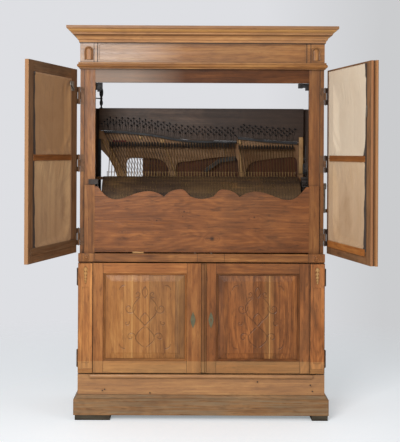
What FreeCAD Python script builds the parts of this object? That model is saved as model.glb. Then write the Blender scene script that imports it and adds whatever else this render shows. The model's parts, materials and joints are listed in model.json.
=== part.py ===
import FreeCAD
import Part
import math
import os
import Sketcher
from FreeCAD import Placement, Rotation, Vector

# A street barrel piano in an oak case, about 2.3 m tall, standing free on the floor.
# X runs to the right, Y to the back and Z up. The origin lies on the floor under the case.
# Sizes are in millimetres, angles in degrees.

SIZES = {
    # Case, from the floor up
    "foot_height": 30.0,
    "plinth_height": 116.0,
    "plinth_projection": 23.0,
    "plinth_edge_height": 24.0,
    "base_rail_height": 98.0,
    "threshold_height": 23.0,
    "threshold_projection": 14.0,
    "threshold_half_width": 655.0,
    "lower_door_gap": 6.0,
    "lower_door_height": 646.0,
    "waist_gap": 8.0,
    "waist_height": 48.0,
    "upper_door_gap": 4.0,
    "upper_door_height": 1079.0,
    "astragal_gap": 6.0,
    "astragal_height": 38.0,
    "astragal_projection": 18.0,
    "frieze_height": 115.0,
    "cornice_height": 94.0,
    "cornice_projection": 75.0,
    # Case, plan
    "upper_half_width": 721.0,
    "lower_half_width": 726.0,
    "case_back": 300.0,
    "board_front": 300.0,
    "stile_thickness": 12.0,
    "side_thickness": 24.0,
    "post_width": 88.0,
    "post_depth": 40.0,
    "shelf_thickness": 25.0,
    "floor_thickness": 25.0,
    "back_panel_thickness": 14.0,
    "rail_thickness": 26.0,
    "upper_rail_height": 80.0,
    "frieze_thickness": 18.0,
    "frieze_block_width": 102.0,
    "frieze_block_rise": 3.0,
    "frieze_border": 11.0,
    "roof_thickness": 18.0,
    "corner_strip_width": 26.0,
    "waist_block_width": 95.0,
    "rosette_radius": 17.0,
    "bearer_width": 60.0,
    # Feet
    "front_left_foot_width": 206.0,
    "front_right_foot_width": 94.0,
    "rear_foot_width": 120.0,
    "foot_depth": 115.0,
    # Scalloped front board
    "board_thickness": 16.0,
    "board_bottom_gap": 6.0,
    "board_corner_height": 399.0,
    "board_trough": 317.0,
    "board_crest": 360.0,
    "board_cusp": 328.0,
    "board_centre_crest": 371.0,
    "board_centre_trough": 320.0,
    "board_stile_height": 401.0,
    "board_stile_width": 62.0,
    # Doors
    "lower_door_thickness": 25.0,
    "lower_door_clearance": 1.0,
    "meeting_line": 29.0,
    "lower_meeting_gap": 1.5,
    "pilaster_width": 82.0,
    "pilaster_projection": 10.0,
    "door_stile_outer": 148.0,
    "door_stile_meeting": 56.0,
    "door_rail_top": 59.0,
    "door_rail_bottom": 71.0,
    "bead_width": 40.0,
    "bead_projection": 9.0,
    "panel_lap": 9.0,
    "panel_bevel": 44.0,
    "panel_rise": 9.0,
    "panel_plate": 8.0,
    "escutcheon_height": 96.0,
    "escutcheon_width": 30.0,
    "escutcheon_thickness": 2.0,
    "keyhole_radius": 4.5,
    "upper_door_thickness": 21.0,
    "upper_door_clearance": 6.0,
    "upper_meeting_gap": 1.5,
    "upper_hinge_gap": 2.0,
    "upper_stile": 66.0,
    "upper_hinge_stile": 104.0,
    "upper_rail_top": 74.0,
    "upper_rail_middle": 32.0,
    "upper_rail_bottom": 82.0,
    "upper_middle_height": 545.0,
    "meeting_strip_width": 38.0,
    "meeting_strip_overlap": 14.0,
    "meeting_strip_thickness": 15.0,
    "door_angle_left": 104.5,
    "door_angle_right": 101.0,
    "cloth_thickness": 1.6,
    "cloth_lap": 14.0,
    "cloth_hinge_lap_right": 80.0,
    "cloth_top_lap_right": 64.0,
    "cloth_hem": 33.0,
    "cloth_seat": 0.3,
    "cloth_ripple": 0.25,
    "fold_depth": 9.0,
    # Hinges
    "hinge_length": 100.0,
    "hinge_leaf_width": 25.0,
    "hinge_leaf_thickness": 2.5,
    "lower_knuckle_radius": 5.0,
    "leaf_seat": 0.5,
    "hinge_pin_radius": 2.2,
    "hinge_play": 0.5,
    # Carrying handles
    "handle_height": 640.0,
    "handle_plate_width": 130.0,
    "handle_plate_height": 70.0,
    "handle_plate_thickness": 3.0,
    "bail_half_width": 52.0,
    "bail_drop": 55.0,
    "bail_radius": 4.5,
    "bail_standoff": 9.0,
    "bail_play": 0.6,
    # Harp
    "harp_clearance": 49.0,
    "harp_sill_rise": 45.0,
    "harp_height": 896.0,
    "string_plane": 150.0,
    "pinblock_thickness": 59.0,
    "string_standoff": 3.0,
    "plate_gap": 7.0,
    "plate_thickness": 12.0,
    "plate_rib_rise": 5.0,
    "soundboard_gap": 23.0,
    "soundboard_thickness": 8.0,
    "soundboard_left": 372.0,
    "rib_depth": 12.0,
    "rib_width": 25.0,
    "back_post_width": 70.0,
    "end_post_seat": 3.0,
    "back_beam_height": 90.0,
    "pressure_bar_height": 14.0,
    "pressure_bar_depth": 10.0,
    "bar_play": 0.4,
    "bridge_width": 28.0,
    "tuning_pin_side": 5.5,
    "tuning_pin_length": 34.0,
    # Notes
    "note_margin_left": 23.0,
    "note_margin_right": 16.0,
    "section_break": 27.0,
    "lean_bass": 27.0,
    "lean_treble": 3.0,
    "hitch_rise": 22.0,
    "string_radius": 0.8,
    # Hammers
    "hammer_pivot_rise": 219.3,
    "hammer_pivot_back": 102.3,
    "nib_gap": 3.5,
    "nib_angle": 25.0,
    "hammer_head_rise": 176.0,
    "head_depth": 22.0,
    "head_height": 28.0,
    "head_width": 10.0,
    "head_gap": 22.0,
    "tenor_head_drop": 5.0,
    "treble_head_drop": 20.0,
    "hammer_width": 4.0,
    "pivot_wire_radius": 1.6,
    "pivot_play": 0.5,
    "hammer_rail_depth": 26.0,
    "hammer_rail_height": 18.0,
    "hammer_rail_gap": 12.0,
    "hammer_rail_drop": 30.0,
    "comb_plate": 3.0,
    # Barrel
    "barrel_radius": 195.0,
    "barrel_clearance_left": 99.0,
    "barrel_clearance_right": 105.0,
    "barrel_back": -78.0,
    "barrel_rise": 274.0,
    "barrel_head_inset": 3.0,
    "barrel_head_thickness": 18.0,
    "barrel_stave": 17.0,
    "arbor_radius": 14.0,
    "shift_travel": 7.0,
    "collar_radius": 30.0,
    "collar_width": 4.0,
    "yoke_thickness": 12.0,
    "yoke_play": 0.7,
    "collar_inset": 21.0,
    "bearing_play": 0.4,
    "bearing_boss_radius": 30.0,
    "bearing_plate_height": 150.0,
    "bearing_plate_width": 110.0,
    "bearing_plate_thickness": 8.0,
    "bearing_length": 30.0,
    # Drive
    "wheel_gap": 10.0,
    "wheel_width": 20.0,
    "wheel_module": 5.4,
    "second_module": 2.4,
    "wheel_teeth": 60.0,
    "pinion_teeth": 10.0,
    "idler_forward": 92.0,
    "crank_axis_turn": 17.4,
    "second_wheel_width": 10.0,
    "pinion_margin": 2.0,
    "idler_shaft_radius": 9.0,
    "crank_shaft_radius": 8.0,
    "drive_play": 0.4,
    "bracket_thickness": 10.0,
    "bracket_boss_wall": 9.0,
    "crank_radius": 150.0,
    "crank_standoff": 24.0,
    "crank_arm_thickness": 12.0,
    "grip_length": 104.0,
    "grip_radius": 16.0,
    "grip_spindle_radius": 5.0,
    "grip_play": 0.5,
    "stop_bar_width": 10.0,
    "stop_bar_thickness": 5.0,
    "stop_bar_length": 150.0,
    "stop_bar_rise": 70.0,
    "stop_play": 0.5,
    # Shift lever
    "lever_pivot_rise": 83.0,
    "lever_plane": 259.5,
    "lever_thickness": 8.0,
    "lever_width": 10.0,
    "lever_pin_radius": 4.0,
    "lever_play": 0.5,
    "lever_wrist_radius": 3.0,
    "lever_wrist_play": 0.75,
    "lever_grip_height": 29.0,
    "lever_grip_rise": 153.0,
    "lever_grip_length": 56.0,
    "lever_grip_thickness": 10.0,
    "lever_grip_gap": 2.0,
}

NOTES_BASS = 18
NOTES_TENOR = 27
NOTES_TREBLE = 20
NOTES = NOTES_BASS + NOTES_TENOR + NOTES_TREBLE
PINS_PER_ROW = 4
CLOTH_FOLDS = 6
WHEEL_SPOKES = 5

# Lines of the harp. Each point is a share of the harp's half width and a drop below its head.
BASS_LINE = ((-1.0, 150.0), (-0.591, 160.0), (-0.3765, 182.0), (-0.1605, 206.0), (0.1327, 213.0))
BREAK_DROP_BASS = 215.0
BREAK_DROP_TREBLE = 187.0
TREBLE_LINE = ((0.6327, 206.0), (1.0, 221.0))
PLATE_WINDOWS = (
    ((-0.9784, 271.0), (-0.8071, 424.0), (-0.7793, None), (-0.9784, None)),
    ((-0.7284, 322.0), (-0.3164, 309.0), (-0.2932, 424.0), (-0.2654, None), (-0.6975, None)),
    ((-0.2438, 424.0), (-0.2299, 341.0), (-0.1698, 329.0), (0.0556, 313.0), (0.2315, 301.0),
     (0.3488, 300.0), (0.3642, 424.0), (0.3858, None), (-0.216, None)),
    ((0.4167, 424.0), (0.4599, 351.0), (0.5448, 318.0), (0.7793, 303.0), (0.9537, 291.0),
     (0.9537, None), (0.4475, None)),
)
PLATE_RIBS = (
    ((-0.9213, 226.0), (-0.7685, 424.0), (-0.7377, None)),
    ((-0.375, 211.0), (-0.2685, 424.0), (-0.2407, None)),
    ((0.3735, 221.0), (0.3904, 424.0), (0.4167, None)),
)
PLATE_BOSSES = ((-0.5957, 183.0), (-0.3858, 206.0), (0.375, 217.0))
BRIDGE_LINES = (
    ((0.037, 411.0), (0.1821, 344.0), (0.3333, 330.0)),
    ((-0.6559, 601.0), (-0.4938, 636.0), (-0.3164, 661.0)),
    ((-0.1852, 676.0), (0.0617, 696.0), (0.3426, 711.0)),
    ((0.4707, 721.0), (0.6944, 736.0), (0.9259, 746.0)),
)

doc = FreeCAD.newDocument("barrel_piano")
sheet = doc.addObject("Spreadsheet::Sheet", "Sizes")
for row, (word, millimetres) in enumerate(SIZES.items(), start=1):
    sheet.set(f"A{row}", word)
    sheet.set(f"B{row}", str(millimetres))
    sheet.setAlias(f"B{row}", word)
doc.recompute()


class Size:
    """A length that carries its number and the sheet formula that gives it."""

    def __init__(self, formula, number):
        self.formula = formula
        self.number = number

    def __float__(self):
        return self.number

    def __add__(self, other):
        other = as_size(other)
        return Size(f"({self.formula} + {other.formula})", self.number + other.number)

    def __sub__(self, other):
        other = as_size(other)
        return Size(f"({self.formula} - {other.formula})", self.number - other.number)

    def __mul__(self, factor):
        return Size(f"({self.formula} * {factor})", self.number * factor)

    def __truediv__(self, divisor):
        return Size(f"({self.formula} / {divisor})", self.number / divisor)

    def __neg__(self):
        return Size(f"(-{self.formula})", -self.number)

    def __radd__(self, other):
        return as_size(other) + self

    def __rsub__(self, other):
        return as_size(other) - self

    __rmul__ = __mul__


def as_size(value):
    """The value as a Size, whether it is one already or a plain number."""
    return value if isinstance(value, Size) else Size(repr(float(value)), float(value))


class Sheet:
    """Reads a named size from the sheet."""

    def __getattr__(self, word):
        return Size(f"Sizes.{word}", float(sheet.get(word)))


s = Sheet()
nodes = {}


# Helpers for plain pieces

def bind(thing, slot, size):
    """Bind one property of a document object to a sheet formula."""
    thing.setExpression(slot, as_size(size).formula)


def bind_place(thing, x, y, z):
    """Bind an object's position."""
    for axis, size in zip("xyz", (x, y, z)):
        bind(thing, f"Placement.Base.{axis}", size)


def box(name, x, y, z):
    """A board between two planes on each axis."""
    board = doc.addObject("Part::Box", name)
    bind(board, "Length", x[1] - x[0])
    bind(board, "Width", y[1] - y[0])
    bind(board, "Height", z[1] - z[0])
    bind_place(board, x[0], y[0], z[0])
    return board


def cylinder(name, start, direction, radius, length):
    """A round bar from a start point along one axis."""
    bar = doc.addObject("Part::Cylinder", name)
    bind(bar, "Radius", radius)
    bind(bar, "Height", length)
    bar.Placement = Placement(Vector(0, 0, 0), Rotation(Vector(0, 0, 1), Vector(*direction)))
    bind_place(bar, *start)
    return bar


def cut(name, base, tool):
    """The base with the tool taken away."""
    result = doc.addObject("Part::Cut", name)
    result.Base = base
    result.Tool = tool
    return result


def group(name, members):
    """Separate solids that share one node."""
    result = doc.addObject("Part::Compound", name)
    result.Links = members
    return result


def keep(name, thing):
    """Hand a finished piece in under its node name."""
    thing.Label = name
    nodes[name] = thing
    return thing


def shape_piece(name, shape, placement=None):
    """A piece whose shape is worked out here."""
    piece = doc.addObject("Part::Feature", name)
    piece.Shape = shape
    if placement is not None:
        piece.Placement = placement
    return keep(name, piece)


def both(size):
    """The span from minus a size to plus that size."""
    return (-size, size)


def mirrored(span):
    """The same span on the other side of the middle plane."""
    return (-span[1], -span[0])


def pair_of_boxes(name, x, y, z):
    """A board on the right and its mirror image on the left."""
    return [box(name + "_l", mirrored(x), y, z), box(name + "_r", x, y, z)]


def body_plane(body, role):
    """One of a body's own origin planes."""
    return [feature for feature in body.Origin.OriginFeatures if feature.Role == role][0]


def outline(body, name, role, offset, corners):
    """A closed sketch through corners, each corner bound to its two sizes."""
    sketch = body.newObject("Sketcher::SketchObject", name)
    sketch.AttachmentSupport = (body_plane(body, role), [""])
    sketch.MapMode = "FlatFace"
    bind(sketch, ".AttachmentOffset.Base.z", offset)
    points = [Vector(float(across), float(up), 0) for across, up in corners]
    count = len(points)
    for index in range(count):
        sketch.addGeometry(Part.LineSegment(points[index], points[(index + 1) % count]), False)
    for index in range(count):
        sketch.addConstraint(Sketcher.Constraint("Coincident", index, 2, (index + 1) % count, 1))
    for index, (across, up) in enumerate(corners):
        for kind, size in (("DistanceX", across), ("DistanceY", up)):
            distance = as_size(size)
            number = sketch.addConstraint(
                Sketcher.Constraint(kind, -1, 1, index, 1, distance.number))
            sketch.setExpression(f"Constraints[{number}]", distance.formula)
    return sketch


def rectangle(x, z):
    """The four corners between two spans."""
    return [(x[0], z[0]), (x[1], z[0]), (x[1], z[1]), (x[0], z[1])]


def pad(body, name, sketch, length):
    """Material raised from a sketch."""
    feature = body.newObject("PartDesign::Pad", name)
    feature.Profile = sketch
    bind(feature, "Length", length)
    return feature


def pocket(body, name, sketch, length):
    """Material taken away from a sketch towards the sketch's back."""
    feature = body.newObject("PartDesign::Pocket", name)
    feature.Profile = sketch
    bind(feature, "Length", length)
    return feature


def wire_prism(points, depth):
    """A flat outline through points, raised by a vector."""
    return Part.Face(Part.makePolygon(points + [points[0]])).extrude(depth)


def joined(shapes):
    """One solid out of shapes that touch."""
    return shapes[0].multiFuse(shapes[1:]).removeSplitter()


# Levels and planes of the case

plinth_top = s.foot_height + s.plinth_height
threshold_bottom = plinth_top + s.base_rail_height
threshold_top = threshold_bottom + s.threshold_height
lower_door_bottom = threshold_top + s.lower_door_gap
lower_door_top = lower_door_bottom + s.lower_door_height
waist_bottom = lower_door_top + s.waist_gap
waist_top = waist_bottom + s.waist_height
upper_door_bottom = waist_top + s.upper_door_gap
upper_door_top = upper_door_bottom + s.upper_door_height
astragal_bottom = upper_door_top + s.astragal_gap
astragal_top = astragal_bottom + s.astragal_height
frieze_top = astragal_top + s.frieze_height
cornice_top = frieze_top + s.cornice_height
shelf_bottom = waist_bottom + 3
shelf_top = shelf_bottom + s.shelf_thickness
post_front = s.stile_thickness - s.board_front
face_front = -s.board_front - s.rail_thickness
frieze_front = post_front - s.frieze_thickness
post_back = post_front + s.post_depth
post_inner = s.upper_half_width - s.post_width
wall_inner = s.upper_half_width - s.side_thickness
lower_inner = s.lower_half_width - s.side_thickness

# Levels and places of the works, from the shelf up and from the side walls in

harp_half = wall_inner - s.harp_clearance
harp_foot = shelf_top + s.harp_sill_rise
harp_head = shelf_top + s.harp_height
string_foot = harp_foot + s.hitch_rise
barrel_axis = shelf_top + s.barrel_rise
barrel_left = wall_inner - s.barrel_clearance_left
barrel_right = wall_inner - s.barrel_clearance_right
first_note = s.note_margin_left - barrel_left
last_note = barrel_right - s.note_margin_right
note_pitch = (last_note - first_note - s.section_break) / (NOTES - 1.5)


# Case: base and lower cupboard

def make_feet():
    """Four blocks under the corners and a bearer on edge under the middle of the floor."""
    front = (-s.board_front - 45, s.foot_depth - s.board_front - 45)
    rear = (s.case_back - s.foot_depth - 5, s.case_back - 5)
    height = (Size("0.0", 0.0), s.foot_height)
    left = -s.lower_half_width - 14
    right = s.lower_half_width + 18
    blocks = [
        box("foot_front_left", (left, left + s.front_left_foot_width), front, height),
        box("foot_front_right", (right - s.front_right_foot_width, right), front, height),
    ]
    inside = s.lower_half_width - s.rear_foot_width
    blocks += pair_of_boxes("foot_rear", (inside, s.lower_half_width), rear, height)
    bearer_span = (-s.board_front + 100, s.case_back - s.back_panel_thickness)
    bearer_height = (Size("0.0", 0.0), threshold_top - s.floor_thickness)
    blocks.append(box("bearer", both(s.bearer_width / 2), bearer_span, bearer_height))
    keep("feet", group("feet", blocks))


def moulding(name, inner_half_width, front, profile):
    """A moulding carried round the front and both sides, mitred at the two front corners."""
    body = doc.addObject("PartDesign::Body", name)
    path = body.newObject("Sketcher::SketchObject", name + "_path")
    path.AttachmentSupport = (body_plane(body, "XY_Plane"), [""])
    path.MapMode = "FlatFace"
    corners = [(inner_half_width, s.case_back), (inner_half_width, front),
               (-inner_half_width, front), (-inner_half_width, s.case_back)]
    points = [Vector(float(across), float(along), 0) for across, along in corners]
    for index in range(3):
        path.addGeometry(Part.LineSegment(points[index], points[index + 1]), False)
    for index in range(2):
        path.addConstraint(Sketcher.Constraint("Coincident", index, 2, index + 1, 1))
    ends = [(0, 1), (1, 1), (2, 1), (2, 2)]
    for (line, end), (across, along) in zip(ends, corners):
        for kind, size in (("DistanceX", across), ("DistanceY", along)):
            number = path.addConstraint(Sketcher.Constraint(kind, -1, 1, line, end, float(size)))
            path.setExpression(f"Constraints[{number}]", size.formula)
    section = outline(body, name + "_section", "XZ_Plane", -s.case_back,
                      [(inner_half_width + out, up) for out, up in profile])
    doc.recompute()
    sweep = body.newObject("PartDesign::AdditivePipe", name + "_sweep")
    sweep.Profile = section
    sweep.Spine = (path, ["Edge1", "Edge2", "Edge3"])
    sweep.Transition = "Right corner"
    body.Tip = sweep
    doc.recompute()
    return keep(name, body)


def make_plinth():
    """The skirt board with its moulded upper edge."""
    out = s.plinth_projection
    edge = plinth_top - s.plinth_edge_height
    step = s.plinth_edge_height / 4
    profile = [
        (as_size(0), s.foot_height), (out, s.foot_height), (out, edge),
        (out - out / 6, edge + step / 2), (out / 2, edge + step), (out / 3, edge + step * 2),
        (out / 4, plinth_top - step / 3), (out / 6, plinth_top), (as_size(0), plinth_top),
    ]
    moulding("plinth", s.lower_half_width, face_front, profile)


def make_base():
    """Base rail with a corner strip at each end and the rounded threshold in front."""
    front = (face_front, -s.board_front)
    height = (s.foot_height, threshold_top)
    inner = s.lower_half_width - s.corner_strip_width
    rail = box("base_board", both(inner), front, height)
    strips = pair_of_boxes("corner_strip", (inner, s.lower_half_width), front, height)
    body = doc.addObject("PartDesign::Body", "threshold")
    nose = face_front - s.threshold_projection
    step = s.threshold_height / 5
    section = outline(body, "threshold_section", "YZ_Plane", -s.threshold_half_width, [
        (face_front, threshold_bottom), (nose + 5, threshold_bottom),
        (nose + 1.5, threshold_bottom + step), (nose, threshold_bottom + step * 2),
        (nose, threshold_bottom + step * 3), (nose + 2, threshold_bottom + step * 4),
        (nose + 6, threshold_top), (face_front, threshold_top)])
    pad(body, "threshold_pad", section, s.threshold_half_width * 2)
    doc.recompute()
    keep("base_rail", group("base_rail", [rail] + strips + [body]))


def make_lower_cupboard():
    """Sides with their front posts, floor, back and the shelf that carries the works."""
    depth = (-s.board_front, s.case_back)
    height = (s.foot_height, shelf_bottom)
    sides = pair_of_boxes("lower_side", (lower_inner, s.lower_half_width), depth, height)
    post = (lower_inner - s.post_width + s.side_thickness, lower_inner)
    posts = pair_of_boxes("lower_post", post, (-s.board_front, s.post_depth - s.board_front),
                          (threshold_top, shelf_bottom))
    keep("lower_sides", group("lower_sides", sides + posts))
    inside = (-s.board_front, s.case_back - s.back_panel_thickness)
    keep("floor_board", box("floor_board", both(lower_inner), inside,
                            (threshold_top - s.floor_thickness, threshold_top)))
    back = (s.case_back - s.back_panel_thickness, s.case_back)
    keep("lower_back_panel", box("lower_back_panel", both(lower_inner), back, height))
    keep("middle_shelf", box("middle_shelf", both(s.lower_half_width), depth,
                             (shelf_bottom, shelf_top)))


def make_waist():
    """Waist rail with a square block at each end that carries a turned rosette."""
    front = (face_front, -s.board_front)
    height = (waist_bottom, waist_top)
    inner = s.lower_half_width - s.waist_block_width
    pieces = [box("waist_board", both(inner), front, height)]
    middle = s.lower_half_width - s.waist_block_width / 2
    level = (waist_bottom + waist_top) / 2
    radius = float(s.rosette_radius)
    for side in (-1, 1):
        span = (inner, s.lower_half_width)
        block = box(f"waist_block_{side + 1}", span if side > 0 else mirrored(span), front, height)
        rosette = doc.addObject("Part::Feature", f"rosette_{side + 1}")
        ring = [Vector(0, 2, 0), Vector(radius, 2, 0), Vector(radius, -2.5, 0),
                Vector(radius * 0.75, -3.5, 0), Vector(radius * 0.55, -1.5, 0),
                Vector(radius * 0.35, -4.5, 0), Vector(0, -5.5, 0)]
        turned = Part.Face(Part.makePolygon(ring + [ring[0]]))
        rosette.Shape = turned.revolve(Vector(0, 0, 0), Vector(0, 1, 0), 360)
        bind_place(rosette, middle * side, face_front, level)
        joint = doc.addObject("Part::Fuse", f"carved_block_{side + 1}")
        joint.Base = block
        joint.Tool = rosette
        pieces.append(joint)
    keep("waist_rail", group("waist_rail", pieces))


# Case: upper part

def make_upper_case():
    """Side walls, corner posts, top rail, frieze and roof."""
    height = (shelf_top, frieze_top)
    depth = (post_back, s.case_back)
    left, right = pair_of_boxes("upper_side", (wall_inner, s.upper_half_width), depth, height)
    crank_y, crank_z = crank_axis()
    hole = cylinder("crank_hole", (wall_inner - 5, crank_y, crank_z), (1, 0, 0),
                    s.crank_shaft_radius + 4, s.side_thickness + 10)
    keep("upper_sides", group("upper_sides", [left, cut("upper_side_bored", right, hole)]))
    keep("corner_posts", group("corner_posts", pair_of_boxes(
        "corner_post", (post_inner, s.upper_half_width), (post_front, post_back), height)))
    keep("upper_rail", box("upper_rail", both(post_inner),
                           (post_front, post_front + s.rail_thickness),
                           (astragal_bottom - s.upper_rail_height, astragal_bottom)))
    keep("roof_board", box("roof_board", both(s.upper_half_width), (frieze_front, s.case_back),
                           (frieze_top, frieze_top + s.roof_thickness)))


def make_frieze():
    """A frieze board with a sunk field between two blocks, each with a fluted arch."""
    inner = s.upper_half_width - s.frieze_block_width
    body = doc.addObject("PartDesign::Body", "frieze_centre")
    board = outline(body, "frieze_outline", "XZ_Plane", -post_front,
                    rectangle(both(inner), (astragal_bottom, frieze_top)))
    pad(body, "frieze_pad", board, s.frieze_thickness)
    border = s.frieze_border
    field = outline(body, "frieze_field", "XZ_Plane", -frieze_front,
                    rectangle(both(inner - border), (astragal_top + border, frieze_top - border)))
    doc.recompute()
    body.Tip = pocket(body, "frieze_pocket", field, s.frieze_thickness / 6)
    doc.recompute()
    pieces = [body]
    for side in (-1, 1):
        span = (inner, s.upper_half_width) if side > 0 else (-s.upper_half_width, -inner)
        block = doc.addObject("PartDesign::Body", f"frieze_block_{side + 1}")
        face = outline(block, f"block_outline_{side + 1}", "XZ_Plane", -post_front,
                       rectangle(span, (astragal_bottom, frieze_top)))
        pad(block, f"block_pad_{side + 1}", face, s.frieze_thickness)
        raised = outline(block, f"block_face_{side + 1}", "XZ_Plane", -frieze_front,
                         rectangle(span, (astragal_top, frieze_top)))
        pad(block, f"block_rise_{side + 1}", raised, s.frieze_block_rise)
        middle = (inner + s.upper_half_width) / 2 * side
        arch = [(middle - 25, astragal_top + 14), (middle + 25, astragal_top + 14),
                (middle + 25, astragal_top + 64), (middle + 18, astragal_top + 82),
                (middle, astragal_top + 92), (middle - 18, astragal_top + 82),
                (middle - 25, astragal_top + 64)]
        niche = outline(block, f"block_arch_{side + 1}", "XZ_Plane",
                        s.frieze_block_rise - frieze_front, arch)
        block.Tip = pad(block, f"arch_pad_{side + 1}", niche, s.frieze_block_rise)
        doc.recompute()
        pieces.append(block)
    keep("frieze_board", group("frieze_board", pieces))


def make_astragal():
    """The half-round band between the doors and the frieze."""
    out = s.astragal_projection
    step = s.astragal_height / 8
    moulding("astragal_moulding", s.upper_half_width, frieze_front, [
        (as_size(0), astragal_bottom), (out / 3, astragal_bottom),
        (out / 3, astragal_bottom + step), (out * 0.8, astragal_bottom + step * 2),
        (out, astragal_bottom + step * 3.5), (out * 0.9, astragal_bottom + step * 5),
        (out * 0.55, astragal_bottom + step * 6), (out * 0.55, astragal_top),
        (as_size(0), astragal_top)])


def make_cornice():
    """The crowning moulding: fillet, cove, bead, ovolo and a square top edge."""
    out = s.cornice_projection
    rise = s.cornice_height
    moulding("cornice", s.upper_half_width, frieze_front, [
        (as_size(0), frieze_top), (out * 0.08, frieze_top), (out * 0.12, frieze_top + rise * 0.15),
        (out * 0.2, frieze_top + rise * 0.19), (out * 0.25, frieze_top + rise * 0.3),
        (out * 0.38, frieze_top + rise * 0.4), (out * 0.53, frieze_top + rise * 0.47),
        (out * 0.58, frieze_top + rise * 0.52), (out * 0.58, frieze_top + rise * 0.57),
        (out * 0.7, frieze_top + rise * 0.64), (out * 0.82, frieze_top + rise * 0.72),
        (out * 0.86, frieze_top + rise * 0.8), (out * 0.94, frieze_top + rise * 0.8),
        (out, frieze_top + rise * 0.85), (out, cornice_top), (as_size(0), cornice_top)])


def make_scalloped_board():
    """The front board whose top edge rises to two crests and dips in the middle."""
    bottom = waist_top + s.board_bottom_gap
    half = float(post_inner)

    def level(rise):
        return float(waist_top) + float(rise)

    def wave(points):
        curve = Part.BSplineCurve()
        curve.interpolate([Vector(across * half, level(rise), 0) for across, rise in points])
        return curve

    sweep = [(0.974, s.board_corner_height), (0.931, s.board_crest + 6),
             (0.852, s.board_trough + 11), (0.795, s.board_trough + 6),
             (0.665, (s.board_trough + s.board_crest) / 2 + 8), (0.479, s.board_crest + 11),
             (0.404, s.board_crest - 2), (0.354, s.board_cusp + 11)]
    lobe = [(0.354, s.board_cusp + 11), (0.29, s.board_crest + 11),
            (0.229, s.board_centre_crest + 11), (0.17, s.board_centre_crest + 9),
            (0.111, s.board_centre_trough + 25), (0.05, s.board_centre_trough + 11),
            (0.0, s.board_centre_trough + 6)]
    sweep = [(across, rise - 5) for across, rise in sweep]
    lobe = [(across, rise - 5) for across, rise in lobe]
    body = doc.addObject("PartDesign::Body", "scalloped_board")
    sketch = body.newObject("Sketcher::SketchObject", "board_outline")
    sketch.AttachmentSupport = (body_plane(body, "XZ_Plane"), [""])
    sketch.MapMode = "FlatFace"
    bind(sketch, ".AttachmentOffset.Base.z", s.board_front - s.board_thickness)
    corner = level(sweep[0][1])
    start = sweep[0][0] * half
    for side in (1, -1):
        sketch.addGeometry(wave([(across * side, rise) for across, rise in sweep]), False)
        sketch.addGeometry(wave([(across * side, rise) for across, rise in lobe]), False)
    corners = [(start, corner), (half, corner), (half, float(bottom)), (-half, float(bottom)),
               (-half, corner), (-start, corner)]
    for near, far in zip(corners, corners[1:]):
        sketch.addGeometry(Part.LineSegment(Vector(*near, 0), Vector(*far, 0)), False)
    pad(body, "board_pad", sketch, s.board_thickness)
    doc.recompute()
    keep("scalloped_board", body)
    stile = (post_inner, post_inner + s.board_stile_width)
    keep("board_stiles", group("board_stiles", pair_of_boxes(
        "board_stile", stile, (-s.board_front, post_front),
        (shelf_top, waist_top + s.board_stile_height))))


# Hinges

def hinge_solid(pin, radius, leaf_along, leaf_plane, bottom, fixed):
    """One half of a butt hinge: a leaf, its knuckles and, on the fixed half, the pin.

    pin is the pin's place in plan, radius the knuckles' radius, leaf_along the two ends of the leaf along its wall, measured
    from the pin, and leaf_plane the two faces of the leaf. The leaf lies along X or along Y.
    """
    length = float(s.hinge_length)
    third = length * 0.4
    play = float(s.hinge_play)
    pin_radius = float(s.hinge_pin_radius)
    middle = ((length - third) / 2, (length + third) / 2)
    spans = [middle] if fixed else [(0, middle[0] - play), (middle[1] + play, length)]

    def plate(along, heights):
        low = Vector(leaf_plane[0][0] + along[0] * leaf_plane[2][0],
                     leaf_plane[0][1] + along[0] * leaf_plane[2][1], bottom + heights[0])
        high = Vector(leaf_plane[1][0] + along[1] * leaf_plane[2][0],
                      leaf_plane[1][1] + along[1] * leaf_plane[2][1], bottom + heights[1])
        corner = Vector(min(low.x, high.x), min(low.y, high.y), low.z)
        return Part.makeBox(abs(high.x - low.x), abs(high.y - low.y), high.z - low.z, corner)

    shapes = [plate(leaf_along, (0, length))]
    for low, high in spans:
        shapes.append(plate((0.0, leaf_along[0]), (low, high)))
        knuckle = Part.makeCylinder(radius, high - low, Vector(pin[0], pin[1], bottom + low))
        shapes.append(knuckle)
    solid = joined(shapes)
    if fixed:
        rod = Part.makeCylinder(pin_radius, length + 6, Vector(pin[0], pin[1], bottom - 3))
        return joined([solid, rod])
    bore = Part.makeCylinder(pin_radius + play / 2, length + 8, Vector(pin[0], pin[1], bottom - 4))
    return solid.cut(bore)


upper_door_back = -s.board_front - s.upper_door_clearance
upper_knuckle_radius = (post_front - upper_door_back) / 2 - s.hinge_leaf_thickness + s.leaf_seat
upper_pin_x = s.upper_half_width + upper_knuckle_radius
upper_pin_y = (post_front + upper_door_back) / 2


def upper_pin(side):
    """Where an upper door's hinge pin stands in plan."""
    return side * float(upper_pin_x), float(upper_pin_y)


def lower_pin(side):
    """Where a lower door's hinge pin stands in plan."""
    return side * float(s.lower_half_width + s.lower_knuckle_radius + s.leaf_seat), float(
        -s.board_front - s.lower_door_clearance / 2)


def upper_hinge(side, bottom, fixed):
    """Half a hinge of an upper door: the leaf lies on the post or on the door's inner face."""
    pin = upper_pin(side)
    thick = float(s.hinge_leaf_thickness)
    radius = float(upper_knuckle_radius)
    near = radius
    far = near + float(s.hinge_leaf_width)
    face = float(post_front) if fixed else float(upper_door_back)
    planes = (face - thick, face) if fixed else (face, face + thick)
    plane = ((pin[0], planes[0]), (pin[0], planes[1]), (-side, 0))
    return hinge_solid(pin, radius, (near, far), plane, bottom, fixed)


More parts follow.
